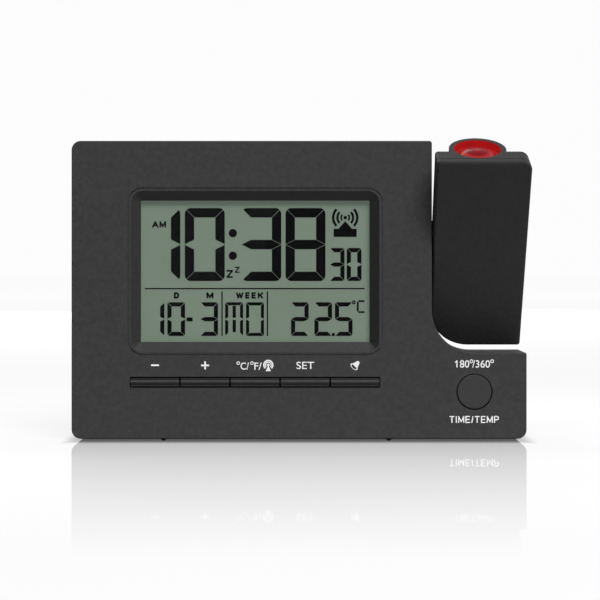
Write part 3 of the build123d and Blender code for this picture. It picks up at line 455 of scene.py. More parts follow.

# %% Domed lens
# The lens's glow is painted light: rings of red emission stand in for the lamp shining through it and
# for the highlights on its dome.
LENS_R = 6.0
lens = Finish("red_lit_lens", colour=(0.06, 0.002, 0.003), shine=0.03, glow=1.0)
ripple = lens.noise(1.6)
rings = lens.ramp(from_tube(lens) / LENS_R + 0.04 * ripple, (0.12, 0.62), (0.28, 0.12), (0.55, 0.05),
                  (0.72, 0.85), (0.86, 1.0), (0.97, 0.25))
lens.drive(Emission_Color=lens.blend(rings, (0.12, 0.003, 0.004), (0.37, 0.030, 0.031)),
           Roughness=0.16 + 0.08 * ripple)
lens.bump(ripple, 0.02)
give(lens, "objective_lens")

# %% [markdown]
# ## Working by hand, in code
#
# The added pieces are modelled the way a person models: start from a primitive, select
# faces by where they are, and use the edit-mode operators. These helpers keep that short.
# A flat piece is drawn lying on the XY plane and then stood up, so that its local X and Y
# become the clock's X and Z, and its top looks out of the front.

# %% Modelling helpers
LAYER = 0.0005  # from one joined shape to the next, upwards


def moved(x, y, z=0.0):
    return Matrix.Translation(Vector((x, y, z)) * MM)


def turned(degrees, axis):
    return Matrix.Rotation(math.radians(degrees), 4, axis)


def begin(add, **settings):
    """Adds a primitive with nothing else selected."""
    bpy.ops.object.select_all(action="DESELECT")
    add(**settings)
    return bpy.context.object


def only(*pieces):
    bpy.ops.object.select_all(action="DESELECT")
    for piece in pieces:
        piece.select_set(True)
    bpy.context.view_layer.objects.active = pieces[0]


def edit(piece, wanted=None, kind="FACE"):
    """Opens edit mode with the faces, edges or points selected for which `wanted` holds."""
    only(piece)
    mesh = piece.data
    for group in (mesh.vertices, mesh.edges, mesh.polygons):
        group.foreach_set("select", [wanted is None] * len(group))
    if wanted is not None:
        if kind == "FACE":
            chosen = [f for f in mesh.polygons if wanted(f.center / MM, f.normal)]
        elif kind == "EDGE":
            ends = [[mesh.vertices[i].co / MM for i in e.vertices] for e in mesh.edges]
            chosen = [e for e, (a, b) in zip(mesh.edges, ends) if wanted((a + b) / 2, b - a)]
        else:
            chosen = [v for v in mesh.vertices if wanted(v.co / MM, v.normal)]
        for item in chosen:
            item.select = True
    bpy.ops.object.mode_set(mode="EDIT")
    bpy.ops.mesh.select_mode(type=kind)


def done():
    bpy.ops.object.mode_set(mode="OBJECT")


def rectangle(width, height, x=0.0, y=0.0):
    piece = begin(bpy.ops.mesh.primitive_plane_add, size=1)
    piece.scale = (width * MM, height * MM, 1)
    piece.location = (x * MM, y * MM, 0)
    bpy.ops.object.transform_apply(location=True, scale=True)
    return piece


def thicken(piece, thickness):
    """Gives a flat piece its thickness, upwards, and closes it."""
    edit(piece)
    bpy.ops.mesh.extrude_region_move(TRANSFORM_OT_translate={"value": (0, 0, thickness * MM)})
    bpy.ops.mesh.select_all(action="SELECT")
    bpy.ops.mesh.normals_make_consistent(inside=False)
    done()
    return piece


def copy_of(piece):
    """A copy with its own mesh."""
    twin = piece.copy()
    twin.data = piece.data.copy()
    bpy.context.scene.collection.objects.link(twin)
    return twin


def join(name, pieces):
    """Joins pieces into one, each a hair above the one before, so that no two share a plane."""
    for index, piece in enumerate(pieces):
        piece.data.transform(moved(0, 0, index * LAYER))
    only(*pieces)
    bpy.ops.object.join()
    whole = bpy.context.object
    whole.name = name
    whole.data.name = name
    return whole


def stand(piece, x, y, z):
    """Stands a flat piece up at x, y, z, its top towards the front, with its place in its mesh."""
    piece.data.transform(moved(x, y, z) @ turned(90, "X"))
    return piece


def dress(piece, finish, body):
    """Gives a new piece its finish, the body that carries it and the slot of its material."""
    piece.data.materials.clear()
    piece.data.materials.append(finish.material)
    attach(piece, body)
    return piece


print("modelling helpers ready")

# %% [markdown]
# ## The digits of the display
#
# A liquid-crystal digit is seven patches of conductive film. All seven come from one
# rectangle, as they do on the real drawing: cut it across the middle, inset both halves by
# the stroke, and the halves turn into two frames with mitred corners. The two bars that
# meet in the middle become one six-sided bar. Three straight cuts at each corner round it
# off. A last small inset of every patch makes the hairlines that keep the patches apart.

# %% The eight with all its patches
HAIRLINE = 0.14
ROUNDING = 0.64
FILM = 0.06
CORNER_CUTS = [quarter * 90 + angle for quarter in range(4) for angle in (22.5, 45, 67.5)]


def eight(width, height, stroke):
    """A figure eight about the origin, still flat."""
    form = rectangle(width, height)
    edit(form)
    bpy.ops.mesh.bisect(plane_co=(0, 0, 0), plane_no=(0, 1, 0))
    bpy.ops.mesh.select_all(action="SELECT")
    bpy.ops.mesh.inset(thickness=stroke * MM, use_individual=True)
    bpy.ops.mesh.delete(type="FACE")
    done()
    inner = width / 2 - stroke
    edit(form, lambda at, _: abs(at.y) < stroke * 1.01 and abs(at.x) < inner * 1.01, "VERT")
    bpy.ops.transform.resize(value=(1, 0.5, 1), center_override=(0, 0, 0))
    done()
    edit(form, lambda at, along: abs(at.y) < 0.01 and abs(along.x) > inner, "EDGE")
    bpy.ops.mesh.dissolve_edges(use_verts=False)
    done()
    for angle in CORNER_CUTS:
        outward = Vector((math.cos(math.radians(angle)), math.sin(math.radians(angle)), 0))
        centre = Vector((math.copysign(width / 2 - ROUNDING * stroke, outward.x),
                         math.copysign(height / 2 - ROUNDING * stroke, outward.y), 0))
        edit(form)
        bpy.ops.mesh.bisect(plane_co=(centre + outward * ROUNDING * stroke) * MM, plane_no=outward,
                            clear_outer=True)
        done()
    edit(form)
    bpy.ops.mesh.inset(thickness=HAIRLINE / 2 * MM, use_individual=True)
    bpy.ops.mesh.select_all(action="INVERT")
    bpy.ops.mesh.delete(type="FACE")
    done()
    return form


LIT = {"0": "abcdef", "1": "bc", "2": "abged", "3": "abgcd", "5": "afgcd", "8": "abcdefg",
       "M": "abcef"}


def patch_of(at, width, height):
    """The letter of the patch that a point lies in, a to g clockwise from the top."""
    if abs(at.x) < width / 4:
        return "g" if abs(at.y) < height / 4 else ("a" if at.y > 0 else "d")
    if at.y > 0:
        return "b" if at.x > 0 else "f"
    return "c" if at.x > 0 else "e"


def digits(name, text, places, middle, width, height, stroke):
    """One piece with a figure for each character, its patches as thin film."""
    form = eight(width, height, stroke)
    figures = []
    for character, place in zip(text, places):
        figure = copy_of(form)
        edit(figure, lambda at, _: patch_of(at, width, height) not in LIT[character])
        bpy.ops.mesh.delete(type="FACE")
        done()
        figure.data.transform(moved(place, middle))
        figures.append(figure)
    bpy.data.objects.remove(form)
    return thicken(join(name, figures), FILM)


print("figures that can be shown:", " ".join(LIT))

# %% [markdown]
# ## Words and marks of the display
#
# Small words are text objects turned into meshes. The font is a thin one, so the letters
# are made solid for a moment, fattened, and cut back to their face. Bold capitals are drawn
# stroke by stroke instead, so that their corners stay sharp. The colon, the rules and the
# radio sign are drawn from rectangles, circles and spun arcs.

# %% Words, dots, rules and arcs
def words(text, width, height, x, y, bold):
    """Plain words of the given size, centred on x and y, each stroke fattened by `bold`."""
    piece = begin(bpy.ops.object.text_add)
    piece.data.body = text
    piece.data.resolution_u = 4
    piece.data.size = (height - 2 * bold) / 0.7 * MM
    bpy.ops.object.convert(target="MESH")
    piece = bpy.context.object
    edit(piece)
    bpy.ops.mesh.remove_doubles(threshold=0.002 * MM)
    done()
    thicken(piece, 1.0)
    edit(piece)
    bpy.ops.transform.shrink_fatten(value=bold * MM, use_even_offset=True)
    done()
    edit(piece, lambda _, normal: normal.z < 0.5)
    bpy.ops.mesh.delete(type="FACE")
    bpy.ops.mesh.select_all(action="SELECT")
    bpy.ops.transform.resize(value=(1, 1, 0))
    done()
    low, high = (Vector([pick(v.co[i] for v in piece.data.vertices) for i in range(3)]) / MM
                 for pick in (min, max))
    size = high - low
    grow = Matrix.Diagonal((width / size.x, height / size.y, 1, 1))
    piece.data.transform(moved(x, y) @ grow @ moved(*(low + high) / -2))
    return piece


def dot(radius, x, y, sides=24):
    piece = begin(bpy.ops.mesh.primitive_circle_add, vertices=sides, radius=radius * MM,
                  fill_type="NGON")
    piece.data.transform(moved(x, y))
    return piece


def arc(radius, stroke, start, sweep, x, y):
    """A flat band round x, y, from the angle `start` through `sweep` degrees."""
    piece = rectangle(stroke, stroke, radius, -stroke / 2)
    edit(piece, lambda at, _: at.y < -stroke / 2, "VERT")
    bpy.ops.mesh.delete(type="VERT")
    bpy.ops.mesh.select_mode(type="EDGE")
    bpy.ops.mesh.select_all(action="SELECT")
    steps = max(6, round(sweep / 12))
    bpy.ops.mesh.spin(steps=steps, angle=math.radians(sweep), center=(0, 0, 0), axis=(0, 0, -1))
    bpy.ops.mesh.select_all(action="SELECT")
    bpy.ops.mesh.remove_doubles(threshold=0.001 * MM)
    bpy.ops.mesh.normals_make_consistent(inside=False)
    done()
    piece.data.transform(moved(x, y) @ turned(start, "Z"))
    return piece


def degree(radius, stroke, x, y):
    return arc(radius, stroke, 0, 360, x, y)


def polygon(*corners):
    """A flat shape with the given corners, pulled out of a circle of as many points."""
    piece = dot(1.0, 0, 0, len(corners))
    for point, corner in zip(piece.data.vertices, corners):
        point.co = Vector((*corner, 0)) * MM
    piece.data.update()
    return piece


# For each character: how wide it is beside the others, and its lines in a unit square.
STROKES = {
    "A": (0.95, ((0, 0), (0.5, 1), (1, 0)), ((0.2, 0.33), (0.8, 0.33))),
    "D": (0.84, ((0, 0), (0, 1), (0.5, 1), (0.87, 0.83), (1, 0.5), (0.87, 0.17), (0.5, 0), (0, 0))),
    "E": (0.75, ((1, 1), (0, 1), (0, 0), (1, 0)), ((0, 0.5), (0.9, 0.5))),
    "I": (0.22, ((0.5, 0), (0.5, 1))),
    "K": (0.92, ((0, 0), (0, 1)), ((1, 1), (0.05, 0.38)), ((0.36, 0.6), (1, 0))),
    "M": (0.96, ((0, 0), (0, 1), (0.5, 0.12), (1, 1), (1, 0))),
    "P": (0.78, ((0, 0), (0, 1), (0.6, 1), (0.92, 0.92), (1, 0.74), (0.92, 0.54), (0.6, 0.46),
                 (0, 0.46))),
    "T": (0.8, ((0, 1), (1, 1)), ((0.5, 1), (0.5, 0))),
    "W": (1.25, ((0, 1), (0.26, 0), (0.5, 0.9), (0.74, 0), (1, 1))),
    "Z": (0.88, ((0, 1), (1, 1), (0, 0), (1, 0))),
    "/": (0.34, ((0, 0), (1, 1))),
    "1": (0.35, ((0.1, 0.76), (1, 1), (1, 0))),
}


def bars_along(points, thick):
    """Flat bars from point to point, long enough to overlap where they meet."""
    bars = []
    for start, end in zip(points, points[1:]):
        run = Vector((end[0] - start[0], end[1] - start[1], 0))
        middle = Vector((start[0] + end[0], start[1] + end[1], 0)) / 2
        bar = rectangle(run.length + 0.7 * thick, thick)
        bar.data.transform(moved(*middle) @ Matrix.Rotation(math.atan2(run.y, run.x), 4, "Z"))
        bars.append(bar)
    return bars


def capitals(text, height, x, y, width, thick, gap=0.28):
    """Capitals drawn with strokes, centred on x and y, a share `gap` of their height apart."""
    space = gap * height
    grow = (width - space * (len(text) - 1)) / sum(STROKES[letter][0] for letter in text)
    left, foot, bars = x - width / 2, y - height / 2 + thick / 2, []
    for letter in text:
        share, *lines = STROKES[letter]
        for line in lines:
            points = [(left + thick / 2 + u * (share * grow - thick), foot + v * (height - thick))
                      for u, v in line]
            bars += bars_along(points, thick)
        left += share * grow + space
    return join(text, bars)


def pieces_called(start):
    return [piece.name for piece in bpy.data.objects if piece.name.startswith(start)]


print("drawing helpers ready, strokes for", len(STROKES), "characters")

# %% Everything that the display shows
FILM_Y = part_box("lcd_glass")[0][1] / MM - 0.02
BIG, SMALL = (13.2, 24.0, 3.2), (5.9, 11.15, 1.5)

film_black = speckled("display_film", (0.0015, 0.0015, 0.002), (0.004, 0.004, 0.0048), (3.0,),
                      rough=0.5, swing=0.0, shine=0.05)


def show(piece):
    """Lays a drawing on the display's glass."""
    stand(piece, WINDOW_X, FILM_Y, WINDOW_Z)
    return dress(piece, film_black, "base")


show(digits("display_time", "1038", (-31.07, -16.55, 1.95, 16.4), 8.74, *BIG))
show(digits("display_seconds", "30", (26.75, 32.3), 2.22, 4.95, 10.9, 1.5))
show(digits("display_date", "103", (-32.65, -25.88, -15.1), -15.65, *SMALL))
show(digits("display_weekday", "M0", (-6.94, -0.11), -15.65, 6.0, 11.15, 1.15))
show(digits("display_temperature", "225", (14.55, 22.2, 28.9), -15.65, *SMALL))

marks = [
    capitals("AM", 2.15, -31.5, 15.32, 4.6, 0.5, gap=0.14),
    capitals("D", 2.08, -25.78, -7.9, 1.75, 0.6),
    capitals("M", 2.08, -14.85, -7.9, 2.3, 0.56),
    capitals("WEEK", 2.08, -1.87, -7.9, 8.95, 0.54),
    capitals("Z", 2.6, -8.38, -0.87, 2.2, 0.58), capitals("Z", 2.0, -5.95, 0.48, 1.65, 0.4),
    # the colon of the time, and the rules between the fields
    dot(1.36, -7.37, 12.48), dot(1.36, -7.37, 5.08), rectangle(71.8, 0.4, -0.2, -5.67),
    rectangle(0.42, 14.6, -10.9, -13.85), rectangle(0.42, 14.6, 3.95, -13.85),
    # the dash of the date, the point of the temperature, the middle of the weekday's M
    rectangle(2.0, 1.25, -21.5, -15.75), rectangle(1.0, 1.0, 25.5, -20.7),
    rectangle(1.08, 3.9, -6.9, -13.25), rectangle(1.08, 3.98, -6.9, -17.9),
    # degrees and the three bars of the C
    degree(0.44, 0.38, 32.2, -10.15), rectangle(0.6, 3.1, 33.5, -11.55),
    rectangle(2.0, 0.56, 34.7, -9.75), rectangle(2.0, 0.56, 34.7, -13.35),
    # the sender under its waves
    dot(0.6, 29.4, 17.55, 12), polygon((25.6, 13.9), (33.15, 13.9), (33.15, 11.25), (25.6, 11.25)),
    polygon((27.1, 13.8), (31.7, 13.8), (29.4, 16.4)),
]
for radius, stroke in ((1.33, 0.56), (2.57, 0.74), (3.95, 0.8)):
    for side in (0, 180):
        marks.append(arc(radius, stroke, side - 44, 88, 29.4, 17.55))
show(thicken(join("display_marks", marks), FILM))
print("display pieces:", pieces_called("display_"))

# %% [markdown]
# ## Glass, film and light
#
# The display is a sandwich: a clear window, a hair of air, and the liquid-crystal cell. The
# window must let the eye and the lamps through, so it is mostly a Transparent shader with a
# little gloss on top, and it mirrors only what comes in, not what goes out.

# %% Window and cell
pane = Finish("clear_window")
clear = pane.node("BsdfTransparent", {}, {"Color": (0.97, 0.98, 0.97, 1)})
gloss = pane.node("BsdfGlossy", {}, {"Roughness": 0.02, "Color": (1, 1, 1, 1)})
inward = 1 - pane.node("NewGeometry", out="Backfacing")
facing = inward * pane.node("LayerWeight", {}, {"Blend": 0.15}, out="Fresnel")
smear = pane.noise(14.0)
pane.feed(pane.output.inputs["Surface"],
          pane.node("MixShader", {}, {0: facing * (0.85 + 0.3 * smear), 1: clear, 2: gloss}))
give(pane, "display_window")

# The cell's emission is painted light: it stands in for the backlight and lifts the shadow that the
# window's frame casts on it.
cell = Finish("crystal_cell", shine=0.2, glow=1.0)
grain = cell.noise(0.35)
cloud = cell.noise(30.0, detail=1.0)
mix = 0.35 * grain + 0.65 * cloud
cell.drive(Base_Color=cell.blend(mix, (0.118, 0.146, 0.119), (0.136, 0.168, 0.137)),
           Emission_Color=cell.blend(mix, (0.072, 0.091, 0.072), (0.085, 0.108, 0.086)),
           Roughness=0.4 + 0.1 * grain)
give(cell, "lcd_glass")

# %% [markdown]
# ## Printed legends
#
# The legends are pad-printed in white ink, a few hundredths of a millimetre thick. They say
# what each key does in plain type and signs: less, more, units, set and alarm over the row
# of keys, and the two jobs of the round button above and below it.

# %% White ink
FACE_Y, INK = -9.8, 0.03
ink = speckled("white_ink", (0.88, 0.88, 0.87), (0.98, 0.98, 0.97), (0.3, 3.0), 0.45, 0.2, shine=0.2)


def print_legend(name, *shapes):
    """Joins flat shapes, drawn at their place on the face, into one film of ink."""
    piece = thicken(join(name, shapes), INK)
    return dress(stand(piece, 0, FACE_Y, 0), ink, "base")


print("ink", INK, "mm thick")

# %% Legends of the keys
print_legend("legend_minus", rectangle(2.6, 0.55, -46.81, 24.66))
print_legend("legend_plus", rectangle(2.6, 0.58, -30.55, 24.6),
             rectangle(0.58, 2.6, -30.55, 24.6))
print_legend("legend_set", words("SET", 5.8, 2.4, 2.0, 24.6, 0.02))


def aerial_sign(x, y):
    """A mast that sends out waves: a dot on a cone inside an open ring."""
    waves = [arc(radius, stroke, -47, 274, x, y) for radius, stroke in ((0.93, 0.36), (1.46, 0.46))]
    mast = polygon((x - 0.85, y - 2.0), (x + 0.85, y - 2.0), (x + 0.12, y - 0.4),
                   (x - 0.12, y - 0.4))
    return *waves, dot(0.44, x, y, 16), mast


print_legend("legend_units", words("C/", 2.75, 2.35, -17.65, 24.38, 0.03),
             words("F/", 2.4, 2.35, -13.35, 24.38, 0.03),
             degree(0.45, 0.24, -19.77, 25.35), degree(0.45, 0.24, -15.3, 25.35),
             *aerial_sign(-10.0, 24.73))


def bell_sign(x, y, lean):
    """A hand bell seen a little from below, leaning by some degrees."""
    mouth = dot(1.0, 0, -0.35)
    edit(mouth)
    bpy.ops.mesh.inset(thickness=0.26 * MM)
    bpy.ops.mesh.delete(type="FACE")
    done()
    mouth.data.transform(Matrix.Diagonal((1.42, 0.74, 1, 1)))
    half = ((1.25, 0.0), (0.98, 0.42), (0.76, 0.95), (0.62, 1.45), (0.5, 1.8), (0.2, 2.05))
    body = polygon(*half, *((-u, v) for u, v in reversed(half)))
    for shape in (mouth, body):
        shape.data.transform(moved(x, y) @ turned(lean, "Z"))
    return mouth, body


print_legend("legend_alarm", *bell_sign(18.05, 24.35, -43))
print("legends of the keys:", pieces_called("legend_"))

# %% Legends of the round button
print_legend("legend_turn", capitals("1", 2.4, 51.05, 25.08, 0.9, 0.36),
             words("80", 3.1, 2.45, 53.78, 25.08, 0.03), words("/360", 5.8, 2.45, 59.15, 25.08, 0.03),
             degree(0.47, 0.26, 56.02, 25.95), degree(0.47, 0.26, 62.75, 25.95))
print_legend("legend_mode", capitals("TIME/TEMP", 2.27, 56.9, 7.02, 16.1, 0.34, gap=0.17))
print("all legends:", len(pieces_called("legend_")))

# %% [markdown]
# ## Screws with a cross recess
#
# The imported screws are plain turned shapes. Seen from behind, a real one shows a cross in
# its head, so each is modelled anew: a short cylinder becomes the head, its rim is bevelled,
# its lower face is inset and pulled down into the shank, and two small wedges are taken out
# of the top with a boolean. One screw is made for each size and copied to its places.

# %% One screw
def wedge(width, length, depth, top):
    """A cutter for one bar of the cross, narrower at its foot."""
    cutter = begin(bpy.ops.mesh.primitive_cube_add, size=1)
    cutter.scale = (length * MM, width * MM, 2 * depth * MM)
    cutter.location = (0, 0, top * MM)
    bpy.ops.object.transform_apply(location=True, scale=True)
    edit(cutter, lambda _, normal: normal.z < -0.5)
    bpy.ops.transform.resize(value=(0.55, 0.8, 1))
    done()
    return cutter


def screw(head_r, head_t, shank_r, shank_l):
    """A pan-head screw that stands on the XY plane with its shank below."""
    piece = begin(bpy.ops.mesh.primitive_cylinder_add, vertices=40, radius=head_r * MM,
                  depth=head_t * MM, location=(0, 0, head_t / 2 * MM))
    bpy.ops.object.transform_apply(location=True)
    edit(piece, lambda _, normal: normal.z > 0.5)
    bpy.ops.mesh.bevel(offset=0.35 * head_t * MM, segments=3, affect="EDGES")
    done()
    edit(piece, lambda _, normal: normal.z < -0.5)
    bpy.ops.mesh.inset(thickness=(head_r - shank_r) * MM)
    for down in (shank_l - shank_r, shank_r):
        bpy.ops.mesh.extrude_region_move(TRANSFORM_OT_translate={"value": (0, 0, -down * MM)})
    bpy.ops.transform.resize(value=(0.35, 0.35, 1))
    done()
    for turn in (0, 90):
        cutter = wedge(width=0.34 * head_r, length=1.25 * head_r, depth=0.55 * head_t, top=head_t)
        cutter.data.transform(turned(turn, "Z"))
        cut = piece.modifiers.new("cross", "BOOLEAN")
        cut.object, cut.operation, cut.solver = cutter, "DIFFERENCE", "EXACT"
        only(piece)
        bpy.ops.object.modifier_apply(modifier=cut.name)
        bpy.data.objects.remove(cutter)
    bpy.ops.object.shade_smooth_by_angle(angle=math.radians(40))
    return piece


print("screw ready to copy")

# %% Screws in their places
zinc = speckled("zinc_plate", (0.48, 0.49, 0.51), (0.68, 0.69, 0.70), (0.4, 4.0, 0.7), 0.25, 0.25,
                depth=0.01, metallic=1.0)
FACING_BACK = turned(-90, "X")
SWING = moved(0, AXLE_Y, AXLE_Z) @ Matrix.Rotation(TILT, 4, "X") @ moved(0, -AXLE_Y, -AXLE_Z)


def drive_in(name, pattern, places, seat_y, body, node, swing=Matrix.Identity(4)):
    """Copies a screw to its places, heads to the rear, and lets it stand for the plain node."""
    driven = [copy_of(pattern) for _ in places]
    for twin, (x, z) in zip(driven, places):
        twin.data.transform(swing @ moved(x, seat_y, z) @ FACING_BACK)
    bpy.data.objects.remove(pattern)
    piece = dress(join(name, driven), zinc, body)
    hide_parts(node)
    print(len(driven), "screws with a cross in place of", node)


drive_in("cover_screws", screw(2.4, 1.6, 1.2, 11.0),
         ((-67.5, 91.1), (36.7, 91.1), (-67.5, 7.2), (67.5, 7.2)), 10.2, "base", "housing_screws")
drive_in("shell_screws", screw(1.7, 0.8, 0.9, 5.3),
         ((70.0, AXLE_Z - 24.0), (70.0, AXLE_Z + 24.0)), -1.7, "arm", "arm_screws", SWING)
give(zinc, "board_screws", "housing_screws", "arm_screws")

# %% [markdown]
# ## Marks on the back
#
# The battery door carries a raised arrow and three grip lines under its thumb recess, and
# the floor of the compartment shows a plus and a minus at the ends of each cell. All are
# moulded with their part, so they take its plastic and ride on it. They are drawn flat, as
# seen from behind, and turned to face that way.

# %% Door arrow, grip lines and battery signs
DOOR_Y, BAY_FLOOR_Y, BAY_X, BAY_Z, RAISED = 22.2, 5.7, -19.35, 41.5, 0.25


def on_back(name, shapes, x, y, z, body):
    """Joins flat shapes and raises them from a wall that faces the rear."""
    piece = thicken(join(name, shapes), RAISED)
    piece.data.transform(moved(x, y, z) @ FACING_BACK @ turned(180, "Z"))
    dress(piece, cover, body)


grip_lines = [rectangle(14.0 - 2.5 * row, 0.7, 0, 4.0 - 1.7 * row) for row in range(3)]
arrow = polygon((-3.0, -1.4), (0, -4.6), (3.0, -1.4))
on_back("door_marks", grip_lines + [arrow], BAY_X, DOOR_Y, 40.0, "battery_door")
signs = []
for row in (-1, 1):
    middle, plus = row * 7.6, -row * 15.0
    signs += [rectangle(4.0, 0.9, plus, middle), rectangle(0.9, 4.0, plus, middle),
              rectangle(4.0, 0.9, -plus, middle)]
on_back("battery_signs", signs, BAY_X, BAY_FLOOR_Y, BAY_Z, "base")
print("marks stand", RAISED, "mm high")

# %% [markdown]
# ## Metal parts
#
# Plated steel is never one even grey. It has fine scratches and cloudy patches where the
# plating is thinner, so a metal finish is two sizes of noise over the colour, the roughness
# and a shallow bump. Nickel is the warmest and the brightest.

# %% Nickel and tin
def metal(name, dark, light, size, shine):
    """A plated metal between two tones, with scratches of some size."""
    finish = Finish(name, metallic=1.0)
    scratches = finish.noise(size, detail=4.0, rough=0.75)
    cloud = finish.noise(size * 12, detail=1.0)
    finish.drive(Base_Color=finish.blend(0.6 * scratches + 0.4 * cloud, dark, light),
                 Roughness=shine + 0.2 * scratches)
    finish.bump(scratches, 0.008)
    return finish


give(metal("nickel_plate", (0.42, 0.41, 0.38), (0.78, 0.76, 0.71), 0.3, 0.16),
     "battery_springs", "battery_plates", "retaining_clip", "dc_jack_pin")
give(metal("tin_plate", (0.45, 0.46, 0.46), (0.70, 0.71, 0.70), 0.5, 0.28), "clock_crystal")

# %% [markdown]
# ## Circuit boards
#
# A board is green lacquer over copper. Where a track runs, the lacquer is lighter and stands
# a little higher, and where a pad is left free of lacquer, tin shows. The tracks are the
# joints of a brick pattern laid on the board's own plane, and the pads are the middles of
# the cells of a Voronoi pattern.

# %% Boards
def board(name, plan, green=(0.010, 0.085, 0.030), track=(0.018, 0.150, 0.050)):
    """Green lacquer with tracks and tinned pads. `plan` turns X, Y, Z into the board's plane."""
    finish = Finish(name)
    across, along = plan(*finish.xyz())
    flat = finish.node("CombineXYZ", {}, {0: across, 1: along, 2: 0.0})
    bricks = finish.node("TexBrick", {"offset": 0.5, "squash": 1.4}, {
        "Vector": flat, "Scale": 0.35, "Mortar Size": 0.045, "Mortar Smooth": 0.1,
        "Brick Width": 1.7, "Row Height": 0.6}, out=1)
    cells = finish.node("TexVoronoi", {"voronoi_dimensions": "2D"}, {"Vector": flat, "Scale": 0.28})
    pads = cells < 0.16
    # The holes in the pads are painted near black, as the shade inside them.
    holes = cells < 0.07
    weave = finish.noise(0.8, at=flat)
    lacquer = finish.blend(bricks, finish.blend(weave, times(green, 0.7), green), track)
    tinned = finish.blend(pads, lacquer, (0.62, 0.61, 0.57))
    finish.drive(Base_Color=finish.blend(holes, tinned, grey(0.01)),
                 Metallic=pads * (1 - holes), Roughness=0.3 + 0.15 * weave)
    finish.bump(0.5 * bricks + 0.5 * pads - holes, 0.05)
    return finish


give(board("main_lacquer", lambda x, y, z: (x, z)), "main_board")
give(board("lamp_board_lacquer", lambda x, y, z: (x, y), (0.20, 0.20, 0.19), (0.32, 0.32, 0.30)),
     "led_board")

# %% Receiver with its shield
SHIELD_X, SHIELD_Z, SHIELD_HALF_X, SHIELD_HALF_Z, SHIELD_RIM = 5.7, 70.6, 5.2, 3.6, 0.3
DULL_TIN, BRIGHT_TIN = (0.50, 0.51, 0.50), (0.74, 0.75, 0.73)
shield = metal("receiver_shield", DULL_TIN, BRIGHT_TIN, 0.5, 0.25)
x, _, z = shield.xyz()
off_x, off_z = abs(x - SHIELD_X), abs(z - SHIELD_Z)
under_shield = (off_x < SHIELD_HALF_X) * (off_z < SHIELD_HALF_Z)
rim = (off_x < SHIELD_HALF_X + SHIELD_RIM) * (off_z < SHIELD_HALF_Z + SHIELD_RIM) * (1 - under_shield)
# A dark band is painted round the shield's foot, as shade where it meets the board.
lacquer = shield.blend(rim, (0.010, 0.085, 0.030), grey(0.05))
tin_tone = shield.blend(shield.noise(0.5, detail=4.0), DULL_TIN, BRIGHT_TIN)
shield.drive(Base_Color=shield.blend(under_shield, lacquer, tin_tone), Metallic=under_shield)
shield.bump(under_shield, 0.15)
give(shield, "receiver_module")
print("receiver shield", 2 * SHIELD_HALF_X, "x", 2 * SHIELD_HALF_Z, "mm")

# %% [markdown]
# ## Small parts on the board
#
# The chip hides under a drop of black epoxy, which sets with a soft skin. The capacitors are
# aluminium cans in a dark sleeve, with a pale stripe down one side and a cross scored in the
# lid. The switches are black with a tin cover and a pale plunger.

# %% Epoxy drops
for name, tone, part in (("black_epoxy", (0.012, 0.012, 0.013), "controller_chip"),
                         ("sensor_epoxy", (0.020, 0.016, 0.012), "temperature_sensor")):
    give(speckled(name, times(tone, 0.6), times(tone, 1.5), (1.2,), 0.12, 0.2, depth=0.06), part)

# %% Capacitors
CAN_X, CAN_MID_Z, CAN_HALF_PITCH, CAN_TOP, LID_R, SCORE = 21.7, 74.1, 3.5, 6.2, 2.05, 0.12
can = Finish("capacitor_sleeve")
x, y, z = can.xyz()
side_x, side_z = x - CAN_X, abs(z - CAN_MID_Z) - CAN_HALF_PITCH
lid = (y > CAN_TOP - 0.12) * (distance(side_x, side_z) < LID_R)
score = lid * (abs(side_x) < SCORE).maths("MAXIMUM", abs(side_z) < SCORE)
stripe = (abs(side_z) < 0.8) * (side_x > 1.5) * (1 - lid)
fleck = can.noise(0.6, detail=3.0)
sleeve = can.blend(fleck, (0.012, 0.018, 0.06), (0.03, 0.042, 0.12))
can.drive(Base_Color=can.blend(lid, can.blend(stripe, sleeve, (0.6, 0.62, 0.64)),
                               can.blend(fleck, grey(0.6), grey(0.8))),
          Metallic=lid, Roughness=0.25 + 0.15 * fleck)
can.bump(1 - score, 0.1)
give(can, "capacitors")
print("crosses", SCORE * 2, "mm wide on the lids")

# %% Switches and the display's lamp
def layered(name, depth, tone, *layers):
    """A finish that starts as `tone`: each layer is (from which depth, in which colour)."""
    finish = Finish(name, shine=0.4)
    mottle = finish.noise(0.5, detail=3.0)
    for start, colour in layers:
        tone = finish.blend(depth(*finish.xyz()) > start, tone, colour)
    shade = finish.blend(mottle, grey(0.75), grey(1.1))
    shaded = finish.node("Mix", {"data_type": "RGBA", "blend_type": "MULTIPLY"},
                         {0: 1.0, 6: tone, 7: shade}, out=2)
    finish.drive(Base_Color=shaded, Roughness=0.38 + 0.15 * mottle)
    finish.bump(mottle, 0.01)
    return finish


BLACK, TIN, CREAM = (0.020, 0.020, 0.021), (0.45, 0.45, 0.43), (0.60, 0.57, 0.50)
give(layered("switch_black_and_tin", lambda x, y, z: y, CREAM, (-3.6, TIN), (-3.2, BLACK)),
     "key_switches")
give(layered("upright_switch", lambda x, y, z: z, BLACK, (88.4, TIN)), "snooze_switch")
LAMP_X, LAMP_Z = -59.05, 55.15
give(layered("surface_lamp", lambda x, y, z: distance(x - LAMP_X, z - LAMP_Z), (0.75, 0.62, 0.10),
             (1.15, (0.80, 0.80, 0.77))), "backlight_lamp")

# %% [markdown]
# ## Aerial, buzzer and contact strips
#
# The aerial is a sintered rod, ground along its length, inside a coil of enamelled wire. The
# buzzer is a brass disc with a pale ceramic disc and a silver spot on it, so its finish is
# drawn in rings. The contact strips are silicone in thin slices, pink and black in turn,
# which join the board's pads to the display's glass.

